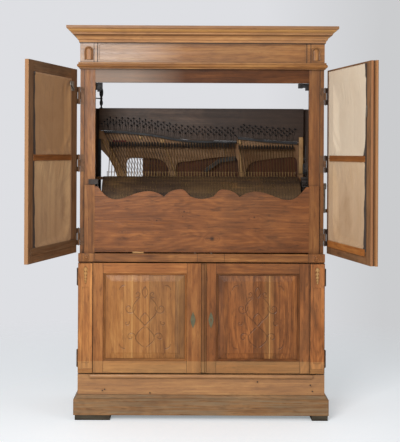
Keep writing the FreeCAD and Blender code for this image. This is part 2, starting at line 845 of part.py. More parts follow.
def lower_hinge(side, bottom, fixed):
    """Half a hinge of a lower door: the leaf lies on the case's side or on the door's edge."""
    pin = lower_pin(side)
    thick = float(s.hinge_leaf_thickness)
    radius = float(s.lower_knuckle_radius)
    near = radius - float(s.leaf_seat)
    far = near + (float(s.hinge_leaf_width) if fixed else float(s.lower_door_thickness) - near - 1)
    wall = side * float(s.lower_half_width)
    plane = ((wall, pin[1]), (wall + side * thick, pin[1]), (0, 1 if fixed else -1))
    return hinge_solid(pin, radius, (near, far), plane, bottom, fixed)


def hinge_bottoms(door_bottom, door_height, shares):
    """The lower ends of the hinges along a door."""
    free = door_height - s.hinge_length
    return [float(door_bottom + free * share) for share in shares]


UPPER_HINGES = (0.044, 0.487, 0.895)
LOWER_HINGES = (0.06, 0.94)


def make_case_hinges():
    """The hinge halves that are screwed to the case, ten in all."""
    halves = []
    for side in (-1, 1):
        for bottom in hinge_bottoms(upper_door_bottom, s.upper_door_height, UPPER_HINGES):
            halves.append(upper_hinge(side, bottom, True))
        for bottom in hinge_bottoms(lower_door_bottom, s.lower_door_height, LOWER_HINGES):
            halves.append(lower_hinge(side, bottom, True))
    shape_piece("case_hinge_leaves", Part.makeCompound(halves))


# Doors

def bind_turn(piece, side):
    """Stand a door's piece in the door's open place, bound to the sheet."""
    angle = s.door_angle_left if side < 0 else s.door_angle_right
    pin_x = upper_pin_x * side
    pin_y = upper_pin_y
    turn = angle * side
    piece.Placement = Placement(Vector(0, 0, 0), Rotation(Vector(0, 0, 1), 1))
    cosine = f"cos({turn.formula} * 1deg)"
    sine = f"sin({turn.formula} * 1deg)"
    piece.setExpression("Placement.Rotation.Angle", f"{turn.formula} * 1deg")
    piece.setExpression("Placement.Base.x",
                        f"{pin_x.formula} * (1 - {cosine}) + {pin_y.formula} * {sine}")
    piece.setExpression("Placement.Base.y",
                        f"{pin_y.formula} * (1 - {cosine}) - {pin_x.formula} * {sine}")


def upper_door_span(side):
    """The closed door's two edges, from the meeting line out to the hinge."""
    outer = s.upper_half_width - s.upper_hinge_gap
    return (s.upper_meeting_gap, outer) if side > 0 else (-outer, -s.upper_meeting_gap)


def door_opening(side):
    """The clear span between the closed door's stiles, the wider one on the hinge side."""
    edges = upper_door_span(side)
    if side > 0:
        return edges[0] + s.upper_stile, edges[1] - s.upper_hinge_stile
    return edges[0] + s.upper_hinge_stile, edges[1] - s.upper_stile


def make_upper_door(side, word):
    """A frame of two stiles and three rails; the right door carries the meeting strip."""
    name = f"upper_door_{word}"
    back = s.board_front + s.upper_door_clearance
    edges = upper_door_span(side)
    body = doc.addObject("PartDesign::Body", name + "_frame")
    frame = outline(body, name + "_outline", "XZ_Plane", back,
                    rectangle(edges, (upper_door_bottom, upper_door_top)))
    pad(body, name + "_pad", frame, s.upper_door_thickness)
    doc.recompute()
    middle = upper_door_bottom + s.upper_middle_height
    spans = [(upper_door_bottom + s.upper_rail_bottom, middle),
             (middle + s.upper_rail_middle, upper_door_top - s.upper_rail_top)]
    across = door_opening(side)
    for index, height in enumerate(spans):
        opening = outline(body, f"{name}_opening_{index}", "XZ_Plane",
                          back + s.upper_door_thickness, rectangle(across, height))
        doc.recompute()
        body.Tip = pocket(body, f"{name}_cut_{index}", opening, s.upper_door_thickness)
        doc.recompute()
    pieces = [body]
    if side > 0:
        front = -back - s.upper_door_thickness
        strip = doc.addObject("PartDesign::Body", name + "_strip")
        far = edges[0] + s.meeting_strip_width - s.meeting_strip_overlap
        section = outline(strip, name + "_strip_section", "XY_Plane", upper_door_bottom, [
            (far, front), (far, front - s.meeting_strip_thickness + 4),
            (far - 4, front - s.meeting_strip_thickness),
            (4 - s.meeting_strip_overlap, front - s.meeting_strip_thickness),
            (-s.meeting_strip_overlap, front - s.meeting_strip_thickness + 4),
            (-s.meeting_strip_overlap, front - 0.8), (edges[0], front - 0.8), (edges[0], front)])
        pad(strip, name + "_strip_pad", section, s.upper_door_height)
        doc.recompute()
        pieces.append(strip)
    door = keep(name, group(name, pieces))
    bind_turn(door, side)
    halves = [upper_hinge(side, bottom, False) for bottom in
              hinge_bottoms(upper_door_bottom, s.upper_door_height, UPPER_HINGES)]
    leaves = shape_piece(f"hinge_leaves_upper_{word}", Part.makeCompound(halves))
    bind_turn(leaves, side)


def folded_section(x, hems, plane, depth, height):
    """A closed wire round a strip of cloth with its folds, at one height.

    The strip lies flat along its two hems and dips away from the case in even folds between them.
    """
    thick = float(s.cloth_thickness)
    start, end = x[0] + hems[0], x[1] - hems[1]
    count = CLOTH_FOLDS * 2
    stations = [x[0]] + [start + (end - start) * index / count for index in range(count + 1)] + [x[1]]
    edges = []
    for surface in (0.0, thick):
        line = []
        for index, (near, far) in enumerate(zip(stations, stations[1:])):
            start = Vector(near, plane + surface, height)
            end = Vector(far, plane + surface, height)
            if index in (0, len(stations) - 2):
                line.append(Part.LineSegment(start, end).toShape())
                continue
            dip = depth if index % 2 else depth / 3
            crest = Vector((near + far) / 2, plane + surface - dip, height)
            line.append(Part.Arc(start, crest, end).toShape())
        edges.append(line)
    low = [Vector(end, plane, height) for end in x]
    high = [Vector(end, plane + thick, height) for end in x]
    sides = [Part.LineSegment(low[1], high[1]).toShape(), Part.LineSegment(high[0], low[0]).toShape()]
    return Part.Wire(edges[0] + [sides[0]] + list(reversed(edges[1])) + [sides[1]])


def make_cloth(side, word):
    """Two hangings of cloth on the inner face of an upper door, one above the middle rail."""
    clear = [float(edge) for edge in door_opening(side)]
    lap = float(s.cloth_lap)
    hem = float(s.cloth_hem)
    hinge_lap = float(s.cloth_hinge_lap_right) if side > 0 else lap
    top_lap = float(s.cloth_top_lap_right) if side > 0 else lap
    laps = (lap, hinge_lap) if side > 0 else (hinge_lap, lap)
    x = (clear[0] - laps[0], clear[1] + laps[1])
    hems = (laps[0] + hem, laps[1] + hem)
    plane = float(-s.board_front - s.upper_door_clearance + s.cloth_seat)
    middle = float(upper_door_bottom + s.upper_middle_height)
    rail = float(s.upper_rail_middle)
    spans = [(float(upper_door_bottom + s.upper_rail_bottom) - lap, middle + rail / 2 - 1),
             (middle + rail / 2 + 1, float(upper_door_top - s.upper_rail_top) + top_lap)]
    hangings = []
    for low, high in spans:
        inner_low = low + lap + 2 if low < middle else low + rail / 2 + 1
        inner_high = high - rail / 2 - 1 if low < middle else high - top_lap - 2
        flat = float(s.cloth_ripple)
        top = folded_section(x, hems, plane, flat, high)
        head = folded_section(x, hems, plane, flat, inner_high)
        full = folded_section(x, hems, plane, float(s.fold_depth), inner_low + 60)
        foot = folded_section(x, hems, plane, flat, inner_low)
        base = folded_section(x, hems, plane, flat, low)
        for lower, upper in ((base, foot), (foot, full), (full, head), (head, top)):
            hangings.append(Part.makeLoft([lower, upper], True, True))
    merged = [joined(hangings[:4]), joined(hangings[4:])]
    cloth = shape_piece(f"door_cloth_{word}", Part.makeCompound(merged))
    bind_turn(cloth, side)


def make_lower_door(side, word):
    """A framed door with a raised panel, a pilaster strip and, on the left, the meeting bead."""
    name = f"lower_door_{word}"
    back = s.board_front + s.lower_door_clearance
    front = back + s.lower_door_thickness
    if side < 0:
        edges = (-s.lower_half_width, s.meeting_line - s.bead_width)
        opening = (edges[0] + s.door_stile_outer, edges[1] - s.door_stile_meeting - 18)
    else:
        edges = (s.meeting_line + s.lower_meeting_gap, s.lower_half_width)
        opening = (edges[0] + s.door_stile_meeting, edges[1] - s.door_stile_outer)
    heights = (lower_door_bottom, lower_door_top)
    clear = (lower_door_bottom + s.door_rail_bottom, lower_door_top - s.door_rail_top)
    body = doc.addObject("PartDesign::Body", name + "_frame")
    outer = (edges[0], s.meeting_line) if side < 0 else edges
    pad(body, name + "_pad", outline(body, name + "_outline", "XZ_Plane", back,
                                     rectangle(outer, heights)), s.lower_door_thickness)
    doc.recompute()
    hole = outline(body, name + "_opening", "XZ_Plane", front, rectangle(opening, clear))
    doc.recompute()
    body.Tip = pocket(body, name + "_cut", hole, s.lower_door_thickness)
    doc.recompute()
    lap = s.panel_lap
    rebate_x = (opening[0] - lap, opening[1] + lap)
    rebate_z = (clear[0] - lap, clear[1] + lap)
    rebate_depth = s.panel_plate + 4
    rebate = outline(body, name + "_rebate", "XZ_Plane", back + rebate_depth,
                     rectangle(rebate_x, rebate_z))
    doc.recompute()
    body.Tip = pocket(body, name + "_rebate_cut", rebate, rebate_depth)
    doc.recompute()
    pieces = [body]
    strip = s.pilaster_width
    inset = as_size(4)
    span = (edges[0] + inset, edges[0] + inset + strip) if side < 0 else (
        edges[1] - inset - strip, edges[1] - inset)
    pilaster = doc.addObject("PartDesign::Body", name + "_pilaster")
    face = front + s.pilaster_projection
    pad(pilaster, name + "_pilaster_pad", outline(
        pilaster, name + "_pilaster_outline", "XZ_Plane", front,
        rectangle(span, (heights[0] + 2, heights[1] - 2))), s.pilaster_projection)
    doc.recompute()
    flute = outline(pilaster, name + "_flute", "XZ_Plane", face,
                    rectangle((span[0] + 20, span[1] - 20), (heights[0] + 60, heights[1] - 140)))
    doc.recompute()
    pilaster.Tip = pocket(pilaster, name + "_flute_cut", flute, s.pilaster_projection / 3)
    doc.recompute()
    pieces.append(pilaster)
    if side < 0:
        bead = doc.addObject("PartDesign::Body", name + "_bead")
        left = s.meeting_line - s.bead_width
        right = s.meeting_line
        rise = s.bead_projection
        section = outline(bead, name + "_bead_section", "XY_Plane", heights[0] + 6, [
            (left, -front), (left, -front - rise / 3), (left + 8, -front - rise / 3),
            (left + 11, -front - rise), (right - 11, -front - rise),
            (right - 8, -front - rise / 3), (right, -front - rise / 3), (right, -front)])
        pad(bead, name + "_bead_pad", section, s.lower_door_height - 12)
        doc.recompute()
        pieces.append(bead)
    keep(name, group(name, pieces))
    make_panel(word, opening, clear, rebate_x, rebate_z, rebate_depth)
    make_escutcheon(side, word)
    halves = [lower_hinge(side, bottom, False) for bottom in
              hinge_bottoms(lower_door_bottom, s.lower_door_height, LOWER_HINGES)]
    shape_piece(f"hinge_leaves_lower_{word}", Part.makeCompound(halves))


def make_panel(word, opening, clear, rebate_x, rebate_z, rebate_depth):
    """A panel that sits in the frame's rebate, its field raised behind a broad bevel."""
    name = f"lower_panel_{word}"
    body = doc.addObject("PartDesign::Body", name)
    seat = s.board_front + s.lower_door_clearance + rebate_depth
    play = as_size(0.5)
    plate = outline(body, name + "_plate", "XZ_Plane", seat - s.panel_plate,
                    rectangle((rebate_x[0] + play, rebate_x[1] - play),
                              (rebate_z[0] + play, rebate_z[1] - play)))
    pad(body, name + "_plate_pad", plate, s.panel_plate)
    doc.recompute()
    foot = outline(body, name + "_foot", "XZ_Plane", seat,
                   rectangle((opening[0] + play, opening[1] - play),
                             (clear[0] + play, clear[1] - play)))
    bevel = s.panel_bevel
    field = outline(body, name + "_field", "XZ_Plane", seat + s.panel_rise,
                    rectangle((opening[0] + bevel, opening[1] - bevel),
                              (clear[0] + bevel, clear[1] - bevel)))
    doc.recompute()
    loft = body.newObject("PartDesign::AdditiveLoft", name + "_raise")
    loft.Profile = foot
    loft.Sections = [field]
    loft.Ruled = True
    body.Tip = loft
    doc.recompute()
    keep(name, body)


def make_escutcheon(side, word):
    """A pointed lock plate on the meeting stile; the right one has its keyhole."""
    name = f"escutcheon_{word}"
    half_width = s.escutcheon_width / 2
    half_height = s.escutcheon_height / 2
    front = s.board_front + s.lower_door_clearance + s.lower_door_thickness
    middle = s.meeting_line - s.bead_width - 38 if side < 0 else s.meeting_line + 28
    level = lower_door_bottom + s.lower_door_height / 2 - 10
    body = doc.addObject("PartDesign::Body", name)
    plate = outline(body, name + "_plate", "XZ_Plane", front, [
        (middle, level - half_height), (middle + half_width * 0.6, level - half_height * 0.55),
        (middle + half_width, level), (middle + half_width * 0.6, level + half_height * 0.55),
        (middle, level + half_height), (middle - half_width * 0.6, level + half_height * 0.55),
        (middle - half_width, level), (middle - half_width * 0.6, level - half_height * 0.55)])
    pad(body, name + "_pad", plate, s.escutcheon_thickness)
    doc.recompute()
    if side > 0:
        slot = s.keyhole_radius
        key = outline(body, name + "_key", "XZ_Plane", front + s.escutcheon_thickness, [
            (middle - slot / 2, level - slot * 3), (middle + slot / 2, level - slot * 3),
            (middle + slot / 2, level), (middle + slot, level + slot / 2),
            (middle + slot / 2, level + slot * 1.5), (middle - slot / 2, level + slot * 1.5),
            (middle - slot, level + slot / 2), (middle - slot / 2, level)])
        doc.recompute()
        body.Tip = pocket(body, name + "_keyhole", key, s.escutcheon_thickness)
        doc.recompute()
    keep(name, body)


# Carrying handles

def make_handles():
    """A plate with two lugs on each side wall, and the drop bail that hangs in them."""
    level = float(s.handle_height)
    wall = float(s.lower_half_width)
    thick = float(s.handle_plate_thickness)
    width = float(s.handle_plate_width)
    height = float(s.handle_plate_height)
    reach = float(s.bail_standoff)
    radius = float(s.bail_radius)
    bore = radius + float(s.bail_play)
    leg = float(s.bail_half_width)
    lug = (leg - radius - 1.5 - 10, leg - radius - 1.5)
    plates = []
    for side in (-1, 1):
        base = wall if side > 0 else -wall - thick
        parts = [Part.makeBox(thick, width, height, Vector(base, -width / 2, level - height + 12))]
        pivot_x = side * (wall + thick + reach)
        for end in (-1, 1):
            low = lug[0] if end > 0 else -lug[1]
            start = Vector(pivot_x, low, level)
            eye = Part.makeCylinder(bore + 3, lug[1] - lug[0], start, Vector(0, 1, 0))
            foot = Part.makeBox(reach + 1, lug[1] - lug[0], 2 * (bore + 3),
                                Vector(min(pivot_x, side * (wall + thick - 1)), low,
                                       level - bore - 3))
            parts += [eye, foot]
        solid = joined(parts)
        solid = solid.cut(Part.makeCylinder(bore, 2 * leg, Vector(pivot_x, -leg, level),
                                            Vector(0, 1, 0)))
        plates.append(solid)
        drop = level - float(s.bail_drop)
        inner = lug[0] + 1
        route = [Vector(pivot_x, -inner, level), Vector(pivot_x, -leg, level),
                 Vector(pivot_x, -leg, drop), Vector(pivot_x, leg, drop),
                 Vector(pivot_x, leg, level), Vector(pivot_x, inner, level)]
        path = Part.makePolygon(route)
        ring = Part.Wire(Part.makeCircle(radius, route[0], Vector(0, 1, 0)))
        bail = Part.Wire(path.Edges).makePipeShell([ring], True, False, 1)
        shape_piece("handle_bail_left" if side < 0 else "handle_bail_right", bail)
    shape_piece("handle_plates", Part.makeCompound(plates))


# Harp

def curve_level(across, treble=None):
    """The height of the harp's curved pressure line above one place across the case."""
    if treble is None:
        treble = across > float(treble_break())
    head = float(harp_head)
    if treble:
        stations = [(float(treble_break()), head - BREAK_DROP_TREBLE)] + harp_points(TREBLE_LINE)
    else:
        stations = harp_points(BASS_LINE) + [(float(treble_break()), head - BREAK_DROP_BASS)]
    for (near, low), (far, high) in zip(stations, stations[1:]):
        if across <= far:
            share = (across - near) / (far - near)
            return low + (high - low) * share
    return stations[-1][1]


def harp_points(line, low=None):
    """A line of the harp as places across and heights; a point with no drop lies at the low level."""
    half = float(harp_half)
    head = float(harp_head)
    return [(share * half, low if drop is None else head - drop) for share, drop in line]


def treble_break():
    """The line across the case where the treble section starts."""
    return first_note + note_pitch * (NOTES_BASS + NOTES_TENOR - 0.5) + s.section_break / 2


def note_place(index):
    """Where a note's hammer meets its string across the case."""
    place = float(first_note) + float(note_pitch) * index
    if index >= NOTES_BASS + NOTES_TENOR:
        place += float(s.section_break) - float(note_pitch) / 2
    return place


def note_slope(index):
    """How far a string leans to the right for each millimetre it falls."""
    share = index / (NOTES - 1)
    lean = float(s.lean_bass) + (float(s.lean_treble) - float(s.lean_bass)) * share
    return math.tan(math.radians(lean))


def string_top(index):
    """Where a string leaves the pressure bar."""
    strike = float(barrel_axis + s.hammer_pivot_rise + s.hammer_head_rise)
    place = note_place(index)
    for _ in range(4):
        level = curve_level(place)
        place = note_place(index) - note_slope(index) * (level - strike)
    return place, level


def string_bottom(index):
    """Where a string meets the hitch ledge."""
    strike = float(barrel_axis + s.hammer_pivot_rise + s.hammer_head_rise)
    return note_place(index) + note_slope(index) * (strike - float(string_foot))


def smooth_edge(across, rise, plane):
    """A smooth edge through the pressure line between two places, raised or lowered."""
    count = 5
    treble = sum(across) / 2 > float(treble_break())
    places = [across[0] + (across[1] - across[0]) * index / count for index in range(count + 1)]
    curve = Part.BSplineCurve()
    curve.interpolate([Vector(place, plane, curve_level(place, treble) + rise)
                       for place in places])
    return curve.toShape()


def curved_slab(across, top, bottom, plane, depth):
    """A slab whose edges follow the pressure line or run level."""
    edges = []
    for rise in (top, bottom):
        if isinstance(rise, tuple):
            edges.append(Part.LineSegment(Vector(across[0], plane, rise[0]),
                                          Vector(across[1], plane, rise[0])).toShape())
        else:
            edges.append(smooth_edge(across, rise, plane))
    ends = []
    for end in (0, 1):
        low, high = (edge.Vertexes[end].Point for edge in edges)
        ends.append(Part.LineSegment(low, high).toShape())
    face = Part.Face(Part.Wire(Part.__sortEdges__(edges + ends)))
    return face.extrude(Vector(0, depth, 0))


def harp_spans():
    """The harp's two spans across the case, left and right of the treble break."""
    half = float(harp_half)
    gap = float(treble_break())
    return ((-half, gap), (gap, half))


def make_pinblock():
    """The plank that holds the tuning pins, its lower edge cut to the pressure line."""
    front = float(s.string_plane + s.string_standoff)
    top = (float(harp_head),)
    halves = [curved_slab(span, top, 9.0, front, float(s.pinblock_thickness))
              for span in harp_spans()]
    shape_piece("pinblock", joined(halves))


def make_iron_plate():
    """The cast plate: an upper web below the pinblock, slanting ribs, end bars and the ledge."""
    front = float(s.string_plane + s.plate_gap)
    thick = float(s.plate_thickness)
    bottom = float(harp_foot)
    half = float(harp_half)
    web = [curved_slab(span, 8.0, (bottom,), front + 3, thick - 3) for span in harp_spans()]
    plate = joined(web)
    foot = bottom + 60
    for line in PLATE_WINDOWS:
        points = [Vector(across, front - 5, up) for across, up in harp_points(line, foot)]
        plate = plate.cut(wire_prism(points, Vector(0, thick + 10, 0)))
    rise = float(s.plate_rib_rise)
    extras = []
    for rib in PLATE_RIBS:
        line = harp_points(rib, foot - 10)
        left = [Vector(across - 7, front, up) for across, up in line]
        right = [Vector(across + 7, front, up) for across, up in reversed(line)]
        extras.append(wire_prism(left + right, Vector(0, rise, 0)))
    ledge = Part.makeBox(2 * half - 40, float(s.plate_gap) + 3, 16,
                         Vector(20 - half, float(s.string_plane) + 1.2, foot - 45))
    extras.append(ledge)
    for across, up in harp_points(PLATE_BOSSES):
        extras.append(Part.makeCylinder(13, rise + 1, Vector(across, front - 1, up),
                                        Vector(0, 1, 0)))
    shape_piece("iron_plate", joined([plate] + extras))


def make_pressure_bars():
    """Two black bars that press the strings back below the pinblock, each on its screws."""
    depth = float(s.pressure_bar_depth)
    plane = float(s.string_plane - s.string_radius - s.bar_play) - depth
    half = float(s.pressure_bar_height) / 2
    seat = float(s.string_plane + s.plate_gap) + 3
    bars = []
    for span, screws in ((harp_spans()[0], (0, 12, 22, 34, 44)), (harp_spans()[1], (45, 54, 64))):
        reach = (span[0] + 34, span[1] - 4) if span[0] < 0 else (span[0] + 4, span[1] - 40)
        bar = curved_slab(reach, half, -half, plane, depth)
        posts = []
        for index in screws:
            place = string_top(index)[0] + float(note_pitch) / 2 * (-1 if index == 44 else 1)
            start = Vector(place, plane + depth - 1, curve_level(place))
            posts.append(Part.makeCylinder(2.5, seat - start.y, start, Vector(0, 1, 0)))
        bars.append(joined([bar] + posts))
    shape_piece("pressure_bars", Part.makeCompound(bars))


def make_strings():
    """One wire for each note, from the tuning pin over the pressure line to the hitch ledge."""
    plane = float(s.string_plane)
    wires = []
    for index in range(NOTES):
        top_x, top_z = string_top(index)
        pin_x, pin_z = pin_place(index * 2)
        radius = float(s.string_radius) * (1.4 if index < NOTES_BASS else 1.0)
        foot = Vector(string_bottom(index), plane, float(string_foot))
        knee = Vector(top_x, plane, top_z)
        head = Vector(top_x + (pin_x - top_x) * 0.35, plane, top_z + 12)
        route = Part.Wire([Part.LineSegment(foot, knee).toShape(),
                           Part.LineSegment(knee, Vector(head.x, plane, pin_z - 4)).toShape()])
        ring = [Vector(foot.x + radius * math.cos(turn), plane + radius * math.sin(turn), foot.z)
                for turn in (math.radians(60 * step) for step in range(6))]
        section = Part.makePolygon(ring + [ring[0]])
        wires.append(route.makePipeShell([section], True, False, 1))
    shape_piece("strings", Part.makeCompound(wires))


def pin_place(index):
    """The place of a tuning pin: rows of four climb to the right above the pressure line."""
    note = index // 2
    top_x = string_top(note)[0]
    across = top_x + float(note_pitch) / 2 * (index % 2)
    row = index % PINS_PER_ROW
    clear = 62.0 if note < NOTES_BASS else 44.0 if note < NOTES_BASS + NOTES_TENOR else 36.0
    return across, curve_level(min(across, float(harp_half))) + clear + row * 15.0


def make_tuning_pins():
    """Square-headed tuning pins, two for each note."""
    side = float(s.tuning_pin_side)
    length = float(s.tuning_pin_length)
    face = float(s.string_plane + s.string_standoff)
    pins = []
    for index in range(NOTES * 2):
        across, up = pin_place(index)
        pins.append(Part.makeBox(side, length, side,
                                 Vector(across - side / 2, face - length, up - side / 2)))
    shape_piece("tuning_pins", Part.makeCompound(pins))


def make_soundboard():
    """The soundboard behind the plate, cut away at the upper left, with its ribs."""
    front = float(s.string_plane + s.plate_gap + s.plate_thickness + s.soundboard_gap)
    thick = float(s.soundboard_thickness)
    half = float(harp_half)
    left = -float(s.soundboard_left)
    low = float(harp_foot)
    top = float(harp_head) - 166
    corners = [(-half, low), (half, low), (half, top - 75), (left + 130, top - 40), (left, top - 20),
               (left, low + 400), (-half, low + 200)]
    board = wire_prism([Vector(across, front, up) for across, up in corners], Vector(0, thick, 0))
    pieces = [board]
    depth = float(s.rib_depth)
    width = float(s.rib_width)
    for rise in (90.0, 210.0, 330.0, 450.0):
        start = left + 20 if rise > 200 else 30 - half
        pieces.append(Part.makeBox(half - 30 - start, depth, width,
                                   Vector(start, front + thick, low + rise)))
    shape_piece("soundboard", joined(pieces))


def make_bridges():
    """Bridges that stand on the soundboard and reach the strings through the plate's openings."""
    front = float(s.string_plane + s.string_radius * 1.4) + 0.3
    back = float(s.string_plane + s.plate_gap + s.plate_thickness + s.soundboard_gap)
    wide = float(s.bridge_width)
    bridges = []
    for bridge in BRIDGE_LINES:
        line = harp_points(bridge)
        top = [Vector(across, front, up + wide) for across, up in line]
        low = [Vector(across, front, up) for across, up in reversed(line)]
        bridges.append(wire_prism(top + low, Vector(0, back - front, 0)))
    shape_piece("bridges", Part.makeCompound(bridges))


def make_back_frame():
    """The timber frame that carries the harp: posts between a top and a bottom beam."""
    front = s.string_plane + s.plate_gap + s.plate_thickness + s.soundboard_gap
    front = front + s.soundboard_thickness + s.rib_depth
    depth = (front, s.case_back)
    half = harp_half
    beam = s.back_beam_height
    low = (shelf_top, shelf_top + beam)
    high = (harp_head - beam, harp_head)
    pieces = [box("back_sill", both(wall_inner), depth, low),
              box("back_head", both(wall_inner), depth, high)]
    between = (shelf_top + beam, harp_head - beam)
    for index, left in enumerate((-s.soundboard_left + 40, as_size(10), as_size(330))):
        pieces.append(box(f"back_post_{index}", (left, left + s.back_post_width), depth, between))
    end_post = (half - s.end_post_seat, wall_inner)
    pieces += pair_of_boxes("back_post_end", end_post, depth, between)
    sill = (s.string_plane + s.plate_gap + 3, front)
    pieces.append(box("harp_sill", both(half), sill, (shelf_top, harp_foot)))
    keep("back_frame", group("back_frame", pieces))


# Hammers

def hammer_pivot():
    """The hammer pivot's place in a side view."""
    return (float(s.barrel_back + s.hammer_pivot_back),
            float(barrel_axis + s.hammer_pivot_rise))


def hammer_solid(place, drop):
    """One hammer: nib and arm below the pivot, shank above it, and the head block."""
    pivot_y, pivot_z = hammer_pivot()
    turn = math.radians(float(s.nib_angle))
    reach = float(s.barrel_radius + s.nib_gap)
    tip_y = float(s.barrel_back) + reach * math.sin(turn)
    tip_z = float(barrel_axis) + reach * math.cos(turn)
    wide = float(s.hammer_width)
    head_back = float(s.string_plane - s.head_gap)
    head_front = head_back - float(s.head_depth)
    head_low = pivot_z + float(s.hammer_head_rise) - drop - float(s.head_height) / 2
    side = place - wide / 2
    profile = [(tip_y - 1.2, tip_z), (tip_y + 1.2, tip_z), (tip_y + 6, tip_z + 16),
               (pivot_y + 5, pivot_z - 5), (pivot_y + 6, pivot_z + 5),
               (head_front + 14, head_low + 3), (head_front + 7, head_low + 3),
               (pivot_y - 5, pivot_z + 7), (pivot_y - 8, pivot_z - 5)]
    arm = wire_prism([Vector(side, along, up) for along, up in profile], Vector(wide, 0, 0))
    width = float(s.head_width)
    head = Part.makeBox(width, float(s.head_depth), float(s.head_height),
                        Vector(place - width / 2, head_front, head_low))
    bore = Part.makeCylinder(float(s.pivot_wire_radius + s.pivot_play), wide + 2,
                             Vector(side - 1, pivot_y, pivot_z), Vector(1, 0, 0))
    return arm.fuse(head).cut(bore)


def make_hammers():
    """The three groups of hammers."""
    first = 0
    for word, count, drop in (("bass", NOTES_BASS, 0.0),
                              ("tenor", NOTES_TENOR, float(s.tenor_head_drop)),
                              ("treble", NOTES_TREBLE, float(s.treble_head_drop))):
        hammers = [hammer_solid(note_place(first + index), drop) for index in range(count)]
        shape_piece(f"hammers_{word}", Part.makeCompound(hammers))
        first += count


def make_hammer_rail():
    """The rail across the case with the pivot wire held in four combs in front of it."""
    pivot_y, pivot_z = hammer_pivot()
    depth = float(s.hammer_rail_depth)
    height = float(s.hammer_rail_height)
    front = pivot_y + float(s.hammer_rail_gap)
    half = float(wall_inner)
    top = pivot_z - float(s.hammer_rail_drop)
    rail = Part.makeBox(2 * half, depth, height, Vector(-half, front, top - height))
    ends = [note_place(0) - 10, (note_place(NOTES_BASS - 1) + note_place(NOTES_BASS)) / 2,
            float(treble_break()), note_place(NOTES - 1) + 10]
    wire = Part.makeCylinder(float(s.pivot_wire_radius), ends[-1] - ends[0],
                             Vector(ends[0], pivot_y, pivot_z), Vector(1, 0, 0))
    parts = [rail, wire]
    profile = [(pivot_y - 4, pivot_z - 5), (pivot_y - 4, pivot_z + 5), (pivot_y + 5, pivot_z + 5),
               (front + 14, top), (front + 14, top - 4), (front, top - 4)]
    plate = float(s.comb_plate)
    for place in ends:
        corners = [Vector(place - plate / 2, along, up) for along, up in profile]
        parts.append(wire_prism(corners, Vector(plate, 0, 0)))
    shape_piece("hammer_rail", joined(parts))


# Barrel

def make_barrel():
    """The pinned cylinder of staves on its arbor, with a head sunk into each end."""
    left = -float(barrel_left)
    right = float(barrel_right)
    radius = float(s.barrel_radius)
    inset = float(s.barrel_head_inset)
    head = inset + float(s.barrel_head_thickness)
    inner = radius - float(s.barrel_stave)
    bore = float(s.arbor_radius)

    def turned(profile):
        points = [Vector(along, out, 0) for along, out in profile]
        face = Part.Face(Part.makePolygon(points + [points[0]]))
        return face.revolve(Vector(0, 0, 0), Vector(1, 0, 0), 360)

    staves = turned([(left, inner), (left, radius), (right, radius), (right, inner)])
    heads = [turned([(low, bore), (low, inner), (high, inner), (high, bore)])
             for low, high in ((left + inset, left + head), (right - head, right - inset))]
    place = Vector(0, float(s.barrel_back), float(barrel_axis))
    shape_piece("barrel_cylinder", joined([staves] + heads), Placement(place, Rotation()))
    groove = collar_groove()
    collar = float(s.collar_width)
    tail = -float(wall_inner) + float(s.shift_travel) + 3
    parts = [Part.makeCylinder(bore, float(wall_inner) - float(s.shift_travel) - 3 - tail,
                               Vector(tail, 0, 0), Vector(1, 0, 0))]
    for start in (groove[0] - collar, groove[1]):
        parts.append(Part.makeCylinder(float(s.collar_radius), collar, Vector(start, 0, 0),
                                       Vector(1, 0, 0)))
    arbor = joined(parts)
    shape_piece("barrel_arbor", arbor, Placement(place, Rotation()))


def collar_groove():
    """The groove between the two collars that the yoke rides in."""
    half = float(s.yoke_thickness) / 2 + float(s.yoke_play)
    middle = -float(barrel_left) - float(s.collar_inset)
    return middle - half, middle + half


def gear_outline(teeth, module, centre_turn):
    """The corners of a spur gear's outline, four for each tooth, six on a small pinion."""
    pitch = teeth * module / 2
    tip = pitch + 0.8 * module
    root = pitch - 1.15 * module
    half = math.pi / (2 * teeth) * 0.8
    slope = math.tan(math.radians(20)) / pitch
    small = teeth < 20
    stations = [(root, half + slope * 0.5 * module), (pitch, half),
                (tip, half * 0.42)] if small else [
                    (root, half + slope * 0.9 * module), (tip, half - slope * 0.9 * module)]
    corners = []
    for tooth in range(teeth):
        middle = 2 * math.pi * tooth / teeth + centre_turn
        for radius, spread in stations:
            corners.append((radius, middle - spread))
        for radius, spread in reversed(stations):
            corners.append((radius, middle + spread))
    return [Vector(0, radius * math.cos(turn), radius * math.sin(turn)) for radius, turn in corners]


def gear_solid(teeth, module, start, width, turn):
    """A spur gear about the X axis."""
    corners = [Vector(start, point.y, point.z) for point in gear_outline(teeth, module, turn)]
    return wire_prism(corners, Vector(width, 0, 0))


def spoked(gear, start, width, inner, outer):
    """A wheel with even windows between its spokes."""
    for spoke in range(WHEEL_SPOKES):
        middle = 2 * math.pi * spoke / WHEEL_SPOKES
        spread = math.pi / WHEEL_SPOKES
        corners = []
        for radius, share in ((inner, 0.55), (outer, 0.8)):
            ordered = (-share, 0.0, share) if radius == inner else (share, 0.5 * share,
                                                                    -0.5 * share, -share)
            for part in ordered:
                turn = middle + spread * part
                corners.append(Vector(start - 1, radius * math.cos(turn), radius * math.sin(turn)))
        gear = gear.cut(wire_prism(corners, Vector(width + 2, 0, 0)))
    return gear


def idler_axis():
    """The intermediate shaft's place in a side view, one centre distance from the barrel."""
    distance = (s.wheel_teeth + s.pinion_teeth).number * float(s.wheel_module) / 2
    forward = float(s.idler_forward)
    rise = math.sqrt(distance ** 2 - forward ** 2)
    return float(s.barrel_back) - forward, float(barrel_axis) + rise


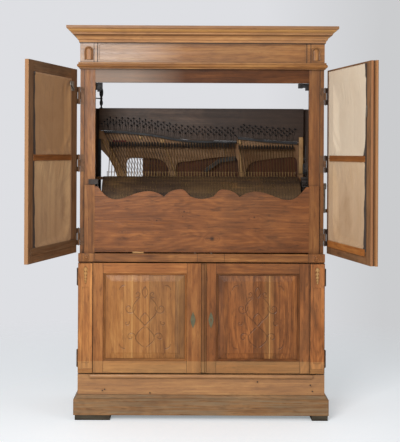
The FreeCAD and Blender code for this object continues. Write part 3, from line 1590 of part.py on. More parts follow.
def crank_axis():
    """The crank shaft's place in a side view, one centre distance from the intermediate shaft."""
    distance = (s.wheel_teeth + s.pinion_teeth).number * float(s.second_module) / 2
    idler_y, idler_z = idler_axis()
    turn = math.radians(float(s.crank_axis_turn))
    return idler_y + distance * math.cos(turn), idler_z - distance * math.sin(turn)


def mesh_turn(own_teeth, other_teeth, other_turn, direction):
    """The turn that puts a gear's gap on the other gear's tooth along the line of centres."""
    other_phase = (direction - other_turn) * other_teeth / (2 * math.pi)
    own_phase = 0.5 - other_phase
    return direction + math.pi - own_phase * 2 * math.pi / own_teeth


def drive_stations():
    """Where the drive's wheels start along the barrel's axis."""
    wheel = float(barrel_right) + float(s.wheel_gap)
    travel = float(s.shift_travel)
    pinion = float(barrel_right) + travel + float(s.pinion_margin)
    pinion_end = wheel + float(s.wheel_width) + travel + 2
    second = pinion_end + 2
    bracket = second + float(s.second_wheel_width) + 4
    return wheel, pinion, pinion_end, second, bracket


def make_drive():
    """Barrel wheel, intermediate gear, crank shaft, crank and grip."""
    wheel, pinion, pinion_end, second, bracket = drive_stations()
    wide = float(s.wheel_width)
    teeth = round(float(s.wheel_teeth))
    small = round(float(s.pinion_teeth))
    module = float(s.wheel_module)
    pitch = teeth * module / 2
    bore = float(s.arbor_radius)
    barrel = Vector(0, float(s.barrel_back), float(barrel_axis))
    big = spoked(gear_solid(teeth, module, wheel, wide, 0.0), wheel, wide, 46, pitch - 22)
    hub = Part.makeCylinder(32, wide, Vector(wheel, 0, 0), Vector(1, 0, 0))
    big = big.fuse(hub).cut(Part.makeCylinder(bore, wide + 4, Vector(wheel - 2, 0, 0),
                                              Vector(1, 0, 0))).removeSplitter()
    shape_piece("barrel_wheel", big, Placement(barrel, Rotation()))
    idler_y, idler_z = idler_axis()
    direction = math.atan2(idler_z - barrel.z, idler_y - barrel.y)
    turn = mesh_turn(small, teeth, 0.0, direction)
    idler = gear_solid(small, module, pinion, pinion_end - pinion, turn)
    fine = float(s.second_module)
    fine_pitch = teeth * fine / 2
    crank_y, crank_z = crank_axis()
    onward = math.atan2(crank_z - idler_z, crank_y - idler_y)
    disc = gear_solid(teeth, fine, second, float(s.second_wheel_width), 0.0)
    disc = spoked(disc, second, float(s.second_wheel_width), 26, fine_pitch - 11)
    shaft_end = float(wall_inner) - 2
    shaft = Part.makeCylinder(float(s.idler_shaft_radius), shaft_end - pinion,
                              Vector(pinion, 0, 0), Vector(1, 0, 0))
    shape_piece("intermediate_gear", joined([idler, disc, shaft]),
                Placement(Vector(0, idler_y, idler_z), Rotation()))
    crank_turn = mesh_turn(small, teeth, 0.0, onward)
    outside = float(s.upper_half_width + s.crank_standoff)
    rod = float(s.crank_shaft_radius)
    small_gear = gear_solid(small, fine, second - 1, float(s.second_wheel_width) + 2, crank_turn)
    front_stub = Part.makeCylinder(rod, outside - second - float(s.second_wheel_width),
                                   Vector(second + float(s.second_wheel_width), 0, 0),
                                   Vector(1, 0, 0))
    place = Placement(Vector(0, crank_y, crank_z), Rotation())
    shape_piece("crank_shaft", joined([small_gear, front_stub]), place)
    make_crank(outside, place)
    make_gear_bracket(bracket, (idler_y, idler_z), (crank_y, crank_z))


def make_crank(outside, place):
    """The crank arm on the shaft's outer end, its spindle, and the turned grip."""
    reach = float(s.crank_radius)
    thick = float(s.crank_arm_thickness)
    boss = Part.makeCylinder(19, thick + 4, Vector(outside, 0, 0), Vector(1, 0, 0))
    eye = Part.makeCylinder(13, thick, Vector(outside, 0, -reach), Vector(1, 0, 0))
    bar = wire_prism([Vector(outside + 1, -13, 0), Vector(outside + 1, 13, 0),
                      Vector(outside + 1, 9, -reach), Vector(outside + 1, -9, -reach)],
                     Vector(thick - 2, 0, 0))
    spindle_start = outside + thick - 1
    length = float(s.grip_length)
    spindle = Part.makeCylinder(float(s.grip_spindle_radius), length + 9,
                                Vector(spindle_start, 0, -reach), Vector(1, 0, 0))
    collar = Part.makeCylinder(9, 4, Vector(spindle_start + length + 6, 0, -reach),
                               Vector(1, 0, 0))
    shape_piece("crank_arm", joined([boss, eye, bar, spindle, collar]), place)
    start = outside + thick + 1.5
    bore = float(s.grip_spindle_radius + s.grip_play)
    full = float(s.grip_radius)
    stations = [(0, bore), (0, full * 0.62), (0.08, full * 0.8), (0.3, full), (0.6, full * 0.94),
                (0.85, full * 0.72), (0.95, full * 0.78), (1, full * 0.6), (1, bore)]
    points = [Vector(start + share * length, radius, 0) for share, radius in stations]
    grip = Part.Face(Part.makePolygon(points + [points[0]])).revolve(
        Vector(0, 0, 0), Vector(1, 0, 0), 360)
    shape_piece("crank_grip", grip,
                Placement(place.Base + Vector(0, 0, -reach), Rotation()))


def make_gear_bracket(start, idler, crank):
    """The cast bracket on the right wall: a web with two long bosses and the stop bar's guide."""
    thick = float(s.bracket_thickness)
    wall = float(wall_inner)
    boss_wall = float(s.bracket_boss_wall)
    play = float(s.drive_play)
    bores = ((idler, float(s.idler_shaft_radius) + play), (crank, float(s.crank_shaft_radius) + play))
    corners = [(idler[0] - 26, idler[1] - 24), (crank[0] + 14, crank[1] - 24),
               (crank[0] + 28, crank[1]), (stop_place() + 12, crank[1] + 40),
               (stop_place() + 12, idler[1] + 120), (stop_place() - 12, idler[1] + 120),
               (stop_place() - 20, idler[1] + 50), (idler[0] + 10, idler[1] + 26),
               (idler[0] - 26, idler[1] + 20)]
    web = wire_prism([Vector(start, along, up) for along, up in corners], Vector(thick, 0, 0))
    parts = [web]
    for (along, up), radius in bores:
        parts.append(Part.makeCylinder(radius + boss_wall, wall - start, Vector(start, along, up),
                                       Vector(1, 0, 0)))
    lug_z = idler[1] + 96
    parts.append(Part.makeBox(wall - start, 24, 18, Vector(start, stop_place() - 12, lug_z)))
    parts += stop_keepers(start, idler)
    solid = joined(parts)
    for (along, up), radius in bores:
        solid = solid.cut(Part.makeCylinder(radius, wall - start + 4, Vector(start - 2, along, up),
                                            Vector(1, 0, 0)))
    shape_piece("gear_bracket", solid)
    make_stop_bar(start, idler)


def stop_place():
    """How far back the stop bar stands."""
    return float(s.barrel_back) + 66


def stop_bar_foot(idler):
    """The height of the stop bar's lower end at rest."""
    return idler[1] + float(s.stop_bar_rise)


def stop_keepers(start, idler):
    """Two straps on the bracket's face that the stop bar slides in."""
    play = float(s.stop_play)
    strap = 3.0
    outer = float(s.stop_bar_width) / 2 + play + strap
    deep = float(s.stop_bar_thickness) + 2 * play
    low = stop_bar_foot(idler)
    straps = []
    for level in (low + 6, low + 36):
        block = Part.makeBox(deep + strap, 2 * outer, 8,
                             Vector(start - deep - strap, stop_place() - outer, level))
        slot = Part.makeBox(deep, 2 * (outer - strap), 12,
                            Vector(start - deep, stop_place() - outer + strap, level - 2))
        straps.append(block.cut(slot))
    return straps


def make_stop_bar(start, idler):
    """A flat bar on the bracket's face with a round knob, lifted by hand in two keepers."""
    thick = float(s.stop_bar_thickness)
    wide = float(s.stop_bar_width)
    play = float(s.stop_play)
    face = start - play - thick
    low = stop_bar_foot(idler)
    bar = Part.makeBox(thick, wide, float(s.stop_bar_length),
                       Vector(face, stop_place() - wide / 2, low))
    knob = Part.makeCylinder(8, 12, Vector(face - 11, stop_place(), low + 70), Vector(1, 0, 0))
    shape_piece("stop_rod", joined([bar, knob]))


def make_bearings():
    """A flanged bearing on each side wall for the arbor, and the shift lever's fulcrum."""
    wall = float(wall_inner)
    thick = float(s.bearing_plate_thickness)
    length = float(s.bearing_length)
    place = Vector(0, float(s.barrel_back), float(barrel_axis))
    height = float(s.bearing_plate_height)
    width = float(s.bearing_plate_width)
    bore = float(s.arbor_radius + s.bearing_play)
    pieces = []
    for side in (-1, 1):
        inner = wall - length
        low = inner if side > 0 else -wall
        plate_low = wall - thick if side > 0 else -wall
        plate = wire_prism([Vector(plate_low, place.y + along * width / 2, place.z + up * height / 2)
                            for along, up in ((-1, -0.6), (-0.5, -1), (0.5, -1), (1, -0.6),
                                              (1, 0.6), (0.5, 1), (-0.5, 1), (-1, 0.6))],
                           Vector(thick, 0, 0))
        boss = Part.makeCylinder(float(s.bearing_boss_radius), length,
                                 Vector(low, place.y, place.z), Vector(1, 0, 0))
        solid = joined([plate, boss])
        hole = Part.makeCylinder(bore, length + 4, Vector(low - 2, place.y, place.z),
                                 Vector(1, 0, 0))
        pieces.append(solid.cut(hole))
    middle, pivot_z = lever_pivot()
    face = -float(s.lever_plane) - float(s.lever_thickness) - float(s.lever_play)
    post = -float(post_inner)
    plate = Part.makeBox(5, 26, 50, Vector(post, face - 14, pivot_z - 25))
    tab = Part.makeBox(middle + 11 - post, 6, 22, Vector(post, face - 6, pivot_z - 11))
    pin = Part.makeCylinder(float(s.lever_pin_radius), 20, Vector(middle, face - 3, pivot_z),
                            Vector(0, 1, 0))
    pieces.append(joined([plate, tab, pin]))
    shape_piece("barrel_bearings", Part.makeCompound(pieces))


# Tune change

def lever_pivot():
    """The shift lever's pivot, across and up."""
    groove = collar_groove()
    return (groove[0] + groove[1]) / 2, float(barrel_axis + s.lever_pivot_rise)


def make_shift():
    """The yoke that rides in the arbor's collar, and the lever that moves it sideways."""
    middle, pivot_z = lever_pivot()
    thick = float(s.yoke_thickness)
    start = middle - thick / 2
    bore = float(s.arbor_radius + s.bearing_play)
    axis_y = float(s.barrel_back)
    axis_z = float(barrel_axis)
    back = -float(s.lever_plane)
    eye_front = back + 3
    wrist = float(s.lever_wrist_radius)
    ring = Part.makeCylinder(bore + 11, thick, Vector(start, axis_y, axis_z), Vector(1, 0, 0))
    arm = wire_prism([Vector(start, axis_y - bore - 4, axis_z - 14),
                      Vector(start, eye_front + 10, axis_z - 7), Vector(start, eye_front, axis_z - 7),
                      Vector(start, eye_front, axis_z + 7), Vector(start, eye_front + 10, axis_z + 7),
                      Vector(start, axis_y - bore - 4, axis_z + 14)], Vector(thick, 0, 0))
    yoke = joined([ring, arm])
    yoke = yoke.cut(Part.makeCylinder(bore, thick + 4, Vector(start - 2, axis_y, axis_z),
                                      Vector(1, 0, 0)))
    yoke = yoke.cut(Part.makeCylinder(wrist + float(s.lever_wrist_play), 16,
                                      Vector(middle, eye_front - 1, axis_z), Vector(0, 1, 0)))
    shape_piece("shift_yoke", yoke)
    deep = float(s.lever_thickness)
    wide = float(s.lever_width)
    front = back - deep
    grip_low = float(barrel_axis + s.lever_grip_rise)
    tall = float(s.lever_grip_height)
    grip_back = float(post_front - s.lever_grip_gap)
    grip_thick = float(s.lever_grip_thickness)
    right = middle + wide / 2
    bar = Part.makeBox(wide, deep, grip_low + tall - axis_z,
                       Vector(middle - wide / 2, front, axis_z))
    foot = Part.makeCylinder(wide / 2 + 1, deep, Vector(middle, front, axis_z), Vector(0, 1, 0))
    boss = Part.makeCylinder(wide / 2 + 4, deep, Vector(middle, front, pivot_z), Vector(0, 1, 0))
    reach = Part.makeBox(wide - 1, back - grip_back, tall,
                         Vector(middle - wide / 2 + 1, grip_back, grip_low))
    grip = Part.makeBox(float(s.lever_grip_length), grip_thick, tall,
                        Vector(right - float(s.lever_grip_length), grip_back - grip_thick, grip_low))
    pin = Part.makeCylinder(wrist, 14, Vector(middle, back - 2, axis_z), Vector(0, 1, 0))
    lever = joined([bar, foot, boss, reach, grip, pin])
    lever = lever.cut(Part.makeCylinder(float(s.lever_pin_radius + s.lever_play), deep + 4,
                                        Vector(middle, front - 2, pivot_z), Vector(0, 1, 0)))
    shape_piece("shift_lever", lever)


def make_corner_brackets():
    """Angle irons under the top rail, and the iron stay at the harp's upper left corner."""
    back = float(post_front + s.rail_thickness)
    low = float(astragal_bottom - s.upper_rail_height)
    inner = float(post_inner)
    top = float(harp_head)
    pieces = []
    for side, width, drop in ((-1, 30, 34), (1, 58, 40)):
        outer = side * inner
        corners = [Vector(outer, back, low + 12), Vector(outer - side * width, back, low + 12),
                   Vector(outer - side * width, back, low - 6),
                   Vector(outer - side * width * 0.4, back, low - drop * 0.5),
                   Vector(outer, back, low - drop)]
        pieces.append(wire_prism(corners, Vector(0, 5, 0)))
    plane = float(s.string_plane + s.string_standoff)
    edge = -float(harp_half)
    wall = -float(wall_inner)
    strap = [Vector(edge, plane, top), Vector(edge + 20, plane, top),
             Vector(edge + 20, plane, top + 60), Vector(edge + 26, plane, top + 66),
             Vector(edge + 26, plane, top + 118), Vector(wall, plane, top + 140),
             Vector(wall, plane, top + 112), Vector(edge, plane, top + 98)]
    pieces.append(wire_prism(strap, Vector(0, 8, 0)))
    shape_piece("corner_brackets", Part.makeCompound(pieces))


make_feet()
make_plinth()
make_base()
make_lower_cupboard()
make_waist()
make_upper_case()
make_frieze()
make_astragal()
make_cornice()
make_scalloped_board()
make_case_hinges()
for side_sign, side_word in ((-1, "left"), (1, "right")):
    make_upper_door(side_sign, side_word)
    make_cloth(side_sign, side_word)
    make_lower_door(side_sign, side_word)
make_handles()
make_pinblock()
make_iron_plate()
make_pressure_bars()
make_strings()
make_tuning_pins()
make_soundboard()
make_bridges()
make_back_frame()
make_hammers()
make_hammer_rail()
make_barrel()
make_drive()
make_bearings()
make_shift()
make_corner_brackets()
doc.recompute()

faulty = [thing.Label for thing in doc.Objects if {"Invalid", "Error"} & set(thing.State)]
if faulty:
    raise RuntimeError(f"these objects failed to build: {faulty}")
for label, piece in nodes.items():
    if piece.Shape.isNull() or not piece.Shape.isValid() or not piece.Shape.Solids:
        raise RuntimeError(f"{label} has no valid solid")
os.makedirs("parts", exist_ok=True)
for label, piece in nodes.items():
    piece.Shape.exportStep(f"parts/{label}.step")
print(f"{len(nodes)} nodes written")
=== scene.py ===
"""Looks of a street barrel piano in an oak case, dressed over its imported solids.

X runs to the right, Y to the back and Z up, in metres, with the origin on the floor under the
middle of the case. The upper doors stand open at rest, and each turns about its hinge pins.
"""

import json
import logging
import math
from dataclasses import dataclass, field
from enum import Enum

import bmesh
import bpy
import numpy as np
from mathutils import Matrix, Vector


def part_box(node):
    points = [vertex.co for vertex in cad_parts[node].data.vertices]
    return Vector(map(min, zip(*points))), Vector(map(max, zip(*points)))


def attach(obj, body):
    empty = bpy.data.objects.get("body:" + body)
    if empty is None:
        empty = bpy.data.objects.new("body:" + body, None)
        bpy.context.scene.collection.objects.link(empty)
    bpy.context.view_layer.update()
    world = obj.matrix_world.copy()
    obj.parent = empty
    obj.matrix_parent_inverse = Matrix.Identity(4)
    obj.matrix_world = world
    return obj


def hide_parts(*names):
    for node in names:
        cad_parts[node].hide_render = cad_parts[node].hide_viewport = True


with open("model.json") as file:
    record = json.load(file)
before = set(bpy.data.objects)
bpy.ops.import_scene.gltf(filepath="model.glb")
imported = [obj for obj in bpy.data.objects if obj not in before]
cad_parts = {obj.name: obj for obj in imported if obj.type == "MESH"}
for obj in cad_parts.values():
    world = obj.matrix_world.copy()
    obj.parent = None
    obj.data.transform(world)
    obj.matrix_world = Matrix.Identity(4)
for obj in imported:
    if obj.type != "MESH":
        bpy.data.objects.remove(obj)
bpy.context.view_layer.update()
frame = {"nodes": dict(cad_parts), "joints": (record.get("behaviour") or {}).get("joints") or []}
LOG = logging.getLogger("barrel_piano")

Colour = tuple[float, float, float]
Point = tuple[float, float, float]
Span = tuple[float, float]
Profile = list[Span]
Socket = bpy.types.NodeSocket
Value = Socket | float | Colour

BARREL_AXIS = (-0.078, 1.229)
BARREL_RADIUS = 0.195
NOTES_BASS, NOTES_TENOR, NOTES = 18, 27, 65
FIRST_NOTE, NOTE_PITCH, SECTION_BREAK = -0.575, 0.0177, 0.027
TREBLE_START = FIRST_NOTE + NOTE_PITCH * (NOTES_BASS + NOTES_TENOR - 0.5)
UP, FORWARD, BACKWARD = (0.0, 0.0, 1.0), (0.0, -1.0, 0.0), (0.0, 1.0, 0.0)
FULL_TURN = 2.0 * math.pi
BOARD_GAP, MERGE_GAP = 0.0012, 1e-6


def tone(red: float, green: float, blue: float) -> Colour:
    """Turn a colour as a screen shows it into the linear one that shaders use.

    Args:
        red: Red from 0 to 255.
        green: Green likewise.
        blue: Blue likewise.

    Returns:
        The three linear values.
    """
    shown = np.array((red, green, blue)) / 255.0
    linear = np.where(shown <= 0.04045, shown / 12.92, ((shown + 0.055) / 1.055) ** 2.4)
    return tuple(float(value) for value in linear)


def joint_of(name: str) -> dict:
    """Return the record's entry of one joint."""
    return next(joint for joint in frame["joints"] if joint["name"] == name)


def note_places() -> np.ndarray:
    """Return X of every note, with a break before the treble."""
    places = FIRST_NOTE + NOTE_PITCH * np.arange(NOTES)
    return places + (places > TREBLE_START) * (SECTION_BREAK - NOTE_PITCH / 2)


# Surfaces


def spots(*parts: np.ndarray | float) -> np.ndarray:
    """Return points from their coordinates, each an array or a number."""
    return np.stack(np.broadcast_arrays(*parts), axis=-1)


def clamped(values: np.ndarray) -> np.ndarray:
    """Return values held between 0 and 1."""
    return np.clip(values, 0.0, 1.0)


def bell(gaps: np.ndarray, width: float) -> np.ndarray:
    """Return a bell curve, 1 where the gap is 0 and a third of that at the width."""
    return np.exp(-(gaps / width) ** 2)


@dataclass
class Shell:
    """A mesh in the making: grids of points with their faces and one painted value a point."""

    points: list[np.ndarray] = field(default_factory=list)
    faces: list[np.ndarray] = field(default_factory=list)
    paint: list[np.ndarray] = field(default_factory=list)
    count: int = 0

    def add(self, points: np.ndarray, faces: np.ndarray, paint: np.ndarray | float = 0.0) -> None:
        """Put in loose points with faces that number them from zero.

        Args:
            points: The points, with X, Y and Z last.
            faces: Four point numbers for each face.
            paint: A value for each point, or one for all.
        """
        flat = points.reshape(-1, 3)
        self.points.append(flat)
        self.faces.append(faces + self.count)
        self.paint.append(np.broadcast_to(np.asarray(paint, float).reshape(-1), (len(flat),)))
        self.count += len(flat)

    def add_grid(self, points: np.ndarray, closed: bool = True, close_rows: bool = False,
                 paint: np.ndarray | float = 0.0) -> None:
        """Put in a grid of points, rows by columns, with a face in every cell.

        Args:
            points: The grid, with X, Y and Z last.
            closed: Whether a row's last point joins its first.
            close_rows: Whether the last row joins the first.
            paint: A value for each point, or one for all.
        """
        rows, columns = points.shape[:2]
        row = np.arange(rows if close_rows else rows - 1)[:, None]
        column = np.arange(columns if closed else columns - 1)[None, :]
        below, beside = (row + 1) % rows, (column + 1) % columns
        corners = (row * columns + column, row * columns + beside,
                   below * columns + beside, below * columns + column)
        self.add(points, spots(*corners).reshape(-1, 4), paint)

    def block(self, low: Point, high: Point, round_off: float) -> None:
        """Put in a box with rounded edges."""
        self.add_grid(rounded_box(low, high, round_off))

    def knob(self, profile: Profile, centre: Point, axis: Point, sides: int) -> None:
        """Put in a turned knob."""
        self.add_grid(turned(profile, centre, axis, sides))

    def place(self, name: str, material: bpy.types.Material, body: str, slot: str,
              *stands_for: str, **options: bool) -> None:
        """Build the piece and hang it on a body in place of some nodes."""
        place_piece(self.build(name, material, **options), body, slot, *stands_for)

    def swing(self, pin: Span, degrees: float) -> None:
        """Turn all that has been put in about an upright line.

        Args:
            pin: X and Y of the line.
            degrees: The angle, from X towards Y.
        """
        angle, (pin_x, pin_y) = math.radians(degrees), pin
        for index, points in enumerate(self.points):
            x, y, z = (points - (pin_x, pin_y, 0.0)).T
            self.points[index] = spots(pin_x + x * math.cos(angle) - y * math.sin(angle),
                                       pin_y + x * math.sin(angle) + y * math.cos(angle), z)

    def build(self, name: str, material: bpy.types.Material, merge: bool = True,
              outward: bool = True, smooth: bool = True) -> bpy.types.Object:
        """Make the object, with its place in its mesh.

        Args:
            name: The piece's name.
            material: The material on all of it.
            merge: Whether points in one place become one.
            outward: Whether the faces are turned outwards anew.
            smooth: Whether the faces are shaded smooth.

        Returns:
            The object, in the scene.
        """
        mesh = bpy.data.meshes.new(name)
        points, faces = np.concatenate(self.points), np.concatenate(self.faces)
        mesh.vertices.add(len(points))
        mesh.vertices.foreach_set("co", points.astype(np.float32).ravel())
        mesh.loops.add(faces.size)
        mesh.loops.foreach_set("vertex_index", faces.astype(np.int32).ravel())
        mesh.polygons.add(len(faces))
        mesh.polygons.foreach_set("loop_start", np.arange(0, faces.size, 4, dtype=np.int32))
        mesh.update(calc_edges=True)
        layer = mesh.attributes.new("paint", "FLOAT", "POINT")
        layer.data.foreach_set("value", np.concatenate(self.paint).astype(np.float32))
        if merge:
            whole = bmesh.new()
            whole.from_mesh(mesh)
            bmesh.ops.remove_doubles(whole, verts=whole.verts, dist=MERGE_GAP)
            bmesh.ops.dissolve_degenerate(whole, edges=whole.edges, dist=MERGE_GAP)
            if outward:
                bmesh.ops.recalc_face_normals(whole, faces=whole.faces)
            whole.to_mesh(mesh)
            whole.free()
        mesh.polygons.foreach_set("use_smooth", np.full(len(mesh.polygons), smooth))
        mesh.materials.append(material)
        piece = bpy.data.objects.new(name, mesh)
        bpy.context.scene.collection.objects.link(piece)
        return piece


def tube(path: np.ndarray, radius: float, sides: int = 8, up: Point = UP) -> np.ndarray:
    """Rings of points round a path, with both ends closed to a point.

    Each ring is the path's point plus the radius times (cos t, sin t) in the two directions
    square to the path's run there.

    Args:
        path: The points along the middle.
        radius: The tube's radius.
        sides: Points in a ring.
        up: A direction that the path never runs along.

    Returns:
        The grid of points, one ring a row.
    """
    run = np.gradient(path, axis=0)
    run /= np.linalg.norm(run, axis=1, keepdims=True)
    side = np.cross(run, np.array(up))
    side /= np.linalg.norm(side, axis=1, keepdims=True)
    lift = np.cross(side, run)
    turn = np.linspace(0.0, FULL_TURN, sides, endpoint=False)[None, :, None]
    rings = path[:, None] + radius * (side[:, None] * np.cos(turn) + lift[:, None] * np.sin(turn))
    ends = [np.repeat(path[[end]][:, None], sides, axis=1) for end in (0, -1)]
    return np.concatenate([ends[0], rings, ends[1]])


def turned(profile: Profile, centre: Point, axis: Point, sides: int) -> np.ndarray:
    """Carry a profile of (radius, height) once round an axis.

    Args:
        profile: Radius and height along the axis, from end to end.
        centre: Where the height is zero.
        axis: The direction of the height.
        sides: Points in a ring.

    Returns:
        The grid of points, one ring a row.
    """
    along = np.array(axis, float)
    along /= np.linalg.norm(along)
    aside = np.cross(along, UP if abs(along[2]) < 0.9 else (1.0, 0.0, 0.0))
    aside /= np.linalg.norm(aside)
    third = np.cross(along, aside)
    turn = np.linspace(0.0, FULL_TURN, sides, endpoint=False)[None, :, None]
    reach, height = np.array(profile).T[:, :, None, None]
    return np.array(centre) + along * height + reach * (aside * np.cos(turn) + third * np.sin(turn))


def rounded_box(low: Point, high: Point, round_off: float) -> np.ndarray:
    """A box with rounded edges, as one closed grid.

    The eight parts of a sphere of that radius are drawn apart, each to the box's corner with the
    same signs, drawn in by the radius. A first and last row at the middle of the bottom and top
    close it.

    Args:
        low: The lowest corner.
        high: The highest corner.
        round_off: The radius along the edges.

    Returns:
        The grid of points, which closes along its columns.
    """
    low_corner, high_corner = np.array(low), np.array(high)
    middle = (low_corner + high_corner) / 2
    core = (high_corner - low_corner) / 2 - round_off
    bends = np.radians((0.0, 45.0, 90.0))
    turn = np.concatenate([bends + quarter * math.pi / 2 for quarter in range(4)])
    signs = np.repeat([(1, 1), (-1, 1), (-1, -1), (1, -1)], 3, axis=0)
    rise = np.concatenate([bends - math.pi / 2, bends])
    lift = np.repeat((-1, 1), 3)
    unit = spots(np.cos(rise)[:, None] * np.cos(turn), np.cos(rise)[:, None] * np.sin(turn),
                 np.sin(rise)[:, None])
    sign = spots(signs[:, 0], signs[:, 1], lift[:, None])
    body = middle + sign * core + unit * round_off
    ends = [np.broadcast_to((middle[0], middle[1], z), (1, 12, 3)) for z in (low[2], high[2])]
    return np.concatenate([ends[0], body, ends[1]])


def distance_to_lines(across: np.ndarray, up: np.ndarray, lines: list[np.ndarray]) -> np.ndarray:
    """How far each point of a plane lies from the nearest of some bent lines.

    For every straight run of a line the point's share along it is held between 0 and 1, and the
    distance to the place at that share is taken.

    Args:
        across: First coordinate of the points.
        up: Second coordinate of the points.
        lines: Lines of points, each with two coordinates.

    Returns:
        The distances, shaped as the points are.
    """
    nearest = np.full(across.shape, 1.0)
    for line in lines:
        for start, end in zip(line[:-1], line[1:]):
            run = end - start
            share = ((across - start[0]) * run[0] + (up - start[1]) * run[1]) / (run @ run)
            share = clamped(share)
            gap = np.hypot(across - start[0] - share * run[0], up - start[1] - share * run[1])
            nearest = np.minimum(nearest, gap)
    return nearest


# Materials


class Graph:
    """The nodes of one material or world, put in by calls that hand back sockets."""

    def __init__(self, owner: bpy.types.Material | bpy.types.World) -> None:
        """Start with no nodes.

        Args:
            owner: The new material or world.
        """
        self.owner = owner
        owner.use_nodes = True
        self.tree = owner.node_tree
        self.tree.nodes.clear()

    @classmethod
    def of_material(cls, name: str) -> "Graph":
        """Start a new material of that name."""
        return cls(bpy.data.materials.new(name))

    def put(self, kind: str, values: dict[str | int, Value] | None = None,
            **settings: object) -> bpy.types.Node:
        """Add a node.

        Args:
            kind: The node's type, without its first word.
            values: What goes into its inputs, by name or number.
            **settings: The node's own settings.

        Returns:
            The node.
        """
        node = self.tree.nodes.new("ShaderNode" + kind)
        for name, setting in settings.items():
            setattr(node, name, setting)
        for key, value in (values or {}).items():
            self.feed(node.inputs[key], value)
        return node

    def feed(self, entry: Socket, value: Value) -> None:
        """Fill an input.

        Args:
            entry: The input.
            value: A socket to link into it, or its fixed value.
        """
        if isinstance(value, bpy.types.NodeSocket):
            self.tree.links.new(value, entry)
        elif entry.type == "RGBA":
            entry.default_value = (*value, 1.0)
        else:
            entry.default_value = value

    def calc(self, kind: str, first: Value, second: Value = 0.0, third: Value = 0.0) -> Socket:
        """Return the result of a Math node of that operation."""
        return self.put("Math", {0: first, 1: second, 2: third}, operation=kind).outputs[0]

    def times(self, first: Value, second: Value, more: Value = 0.0) -> Socket:
        """Return the product of two values, plus a third."""
        return self.calc("MULTIPLY_ADD", first, second, more)

    def plus(self, first: Value, second: Value) -> Socket:
        """Return the sum of two values."""
        return self.calc("ADD", first, second)

    def within(self, value: Value, start: float, end: float) -> Socket:
        """Return 1 where a value lies between two others, and 0 elsewhere."""
        return self.calc("COMPARE", value, (start + end) / 2, (end - start) / 2)

    def vector(self, kind: str, first: Value, second: Value) -> Socket:
        """Return the vector that a Vector Math node of that operation gives."""
        return self.put("VectorMath", {0: first, 1: second}, operation=kind).outputs[0]

    def measure(self, kind: str, first: Value, second: Value = (0.0, 0.0, 0.0)) -> Socket:
        """Return the number that a Vector Math node of that operation gives."""
        return self.put("VectorMath", {0: first, 1: second}, operation=kind).outputs["Value"]

    def scaled(self, value: Value, low: float, high: float, to_low: float = 0.0,
               to_high: float = 1.0) -> Socket:
        """Return one range of values carried onto another and held inside it."""
        return self.put("MapRange", {"Value": value, "From Min": low, "From Max": high,
                                     "To Min": to_low, "To Max": to_high}, clamp=True).outputs[0]

    def mixed(self, share: Value, first: Value, second: Value, kind: str = "MIX") -> Socket:
        """Return the mix of two colours."""
        return self.put("Mix", {0: share, 6: first, 7: second}, data_type="RGBA",
                        blend_type=kind, clamp_factor=True).outputs[2]

    def over(self, colour: Value, top: Value, value: Value, low: float, high: float,
             most: float = 1.0) -> Socket:
        """Return a colour with another over it, more so as a value goes from low to high."""
        return self.mixed(self.scaled(value, low, high, 0.0, most), colour, top)

    def dimmed(self, colour: Value, share: Socket) -> Socket:
        """Return a colour times a number."""
        return self.mixed(1.0, colour, self.joined(share, share, share), "MULTIPLY")

    def either(self, share: Value, first: Value, second: Value) -> Socket:
        """Return the mix of two vectors."""
        return self.put("Mix", {0: share, 4: first, 5: second}, data_type="VECTOR").outputs[1]

    def noise(self, place: Socket, scale: Point | float, detail: float = 2.0,
              rough: float = 0.55, warp: float = 0.0) -> Socket:
        """Return a noise from 0 to 1, with its own scale along each axis."""
        steps = scale if isinstance(scale, tuple) else (scale,) * 3
        return self.put("TexNoise", {"Vector": self.vector("MULTIPLY", place, steps), "Scale": 1.0,
                                     "Detail": detail, "Roughness": rough,
                                     "Distortion": warp}).outputs[0]

    def place(self) -> Socket:
        """Return the point's own place on its object."""
        return self.put("TexCoord").outputs["Object"]

    def parts(self, vector: Socket) -> tuple[Socket, Socket, Socket]:
        """Return a vector's three numbers."""
        node = self.put("SeparateXYZ", {0: vector})
        return node.outputs[0], node.outputs[1], node.outputs[2]

    def joined(self, x: Value, y: Value, z: Value) -> Socket:
        """Return a vector of three numbers."""
        return self.put("CombineXYZ", {0: x, 1: y, 2: z}).outputs[0]

    def painted(self) -> Socket:
        """Return the value painted on the surface's points."""
        return self.put("Attribute", {}, attribute_name="paint").outputs["Fac"]

    def grimy(self, colour: Value, dirt_and_shade: Colour, reach: float, low: float, most: float) -> Socket:
        """Return a colour with dirt and painted shade over it in the corners."""
        # Painted shade and dirt: the corners that ambient occlusion finds are darkened.
        open_up = self.put("AmbientOcclusion", {"Distance": reach}, samples=6).outputs["AO"]
        return self.over(colour, dirt_and_shade, open_up, 0.95, low, most)

    def edges(self, reach: float) -> tuple[Socket, Socket]:
        """Find the edges.

        Args:
            reach: The radius of their rounding.

        Returns:
            The rounded normal, and how sharp an edge is near, from 0 to 1.
        """
        rounded = self.put("Bevel", {"Radius": reach}, samples=4).outputs[0]
        plain = self.put("NewGeometry").outputs["Normal"]
        return rounded, self.scaled(self.measure("DOT_PRODUCT", rounded, plain), 0.97, 0.75)

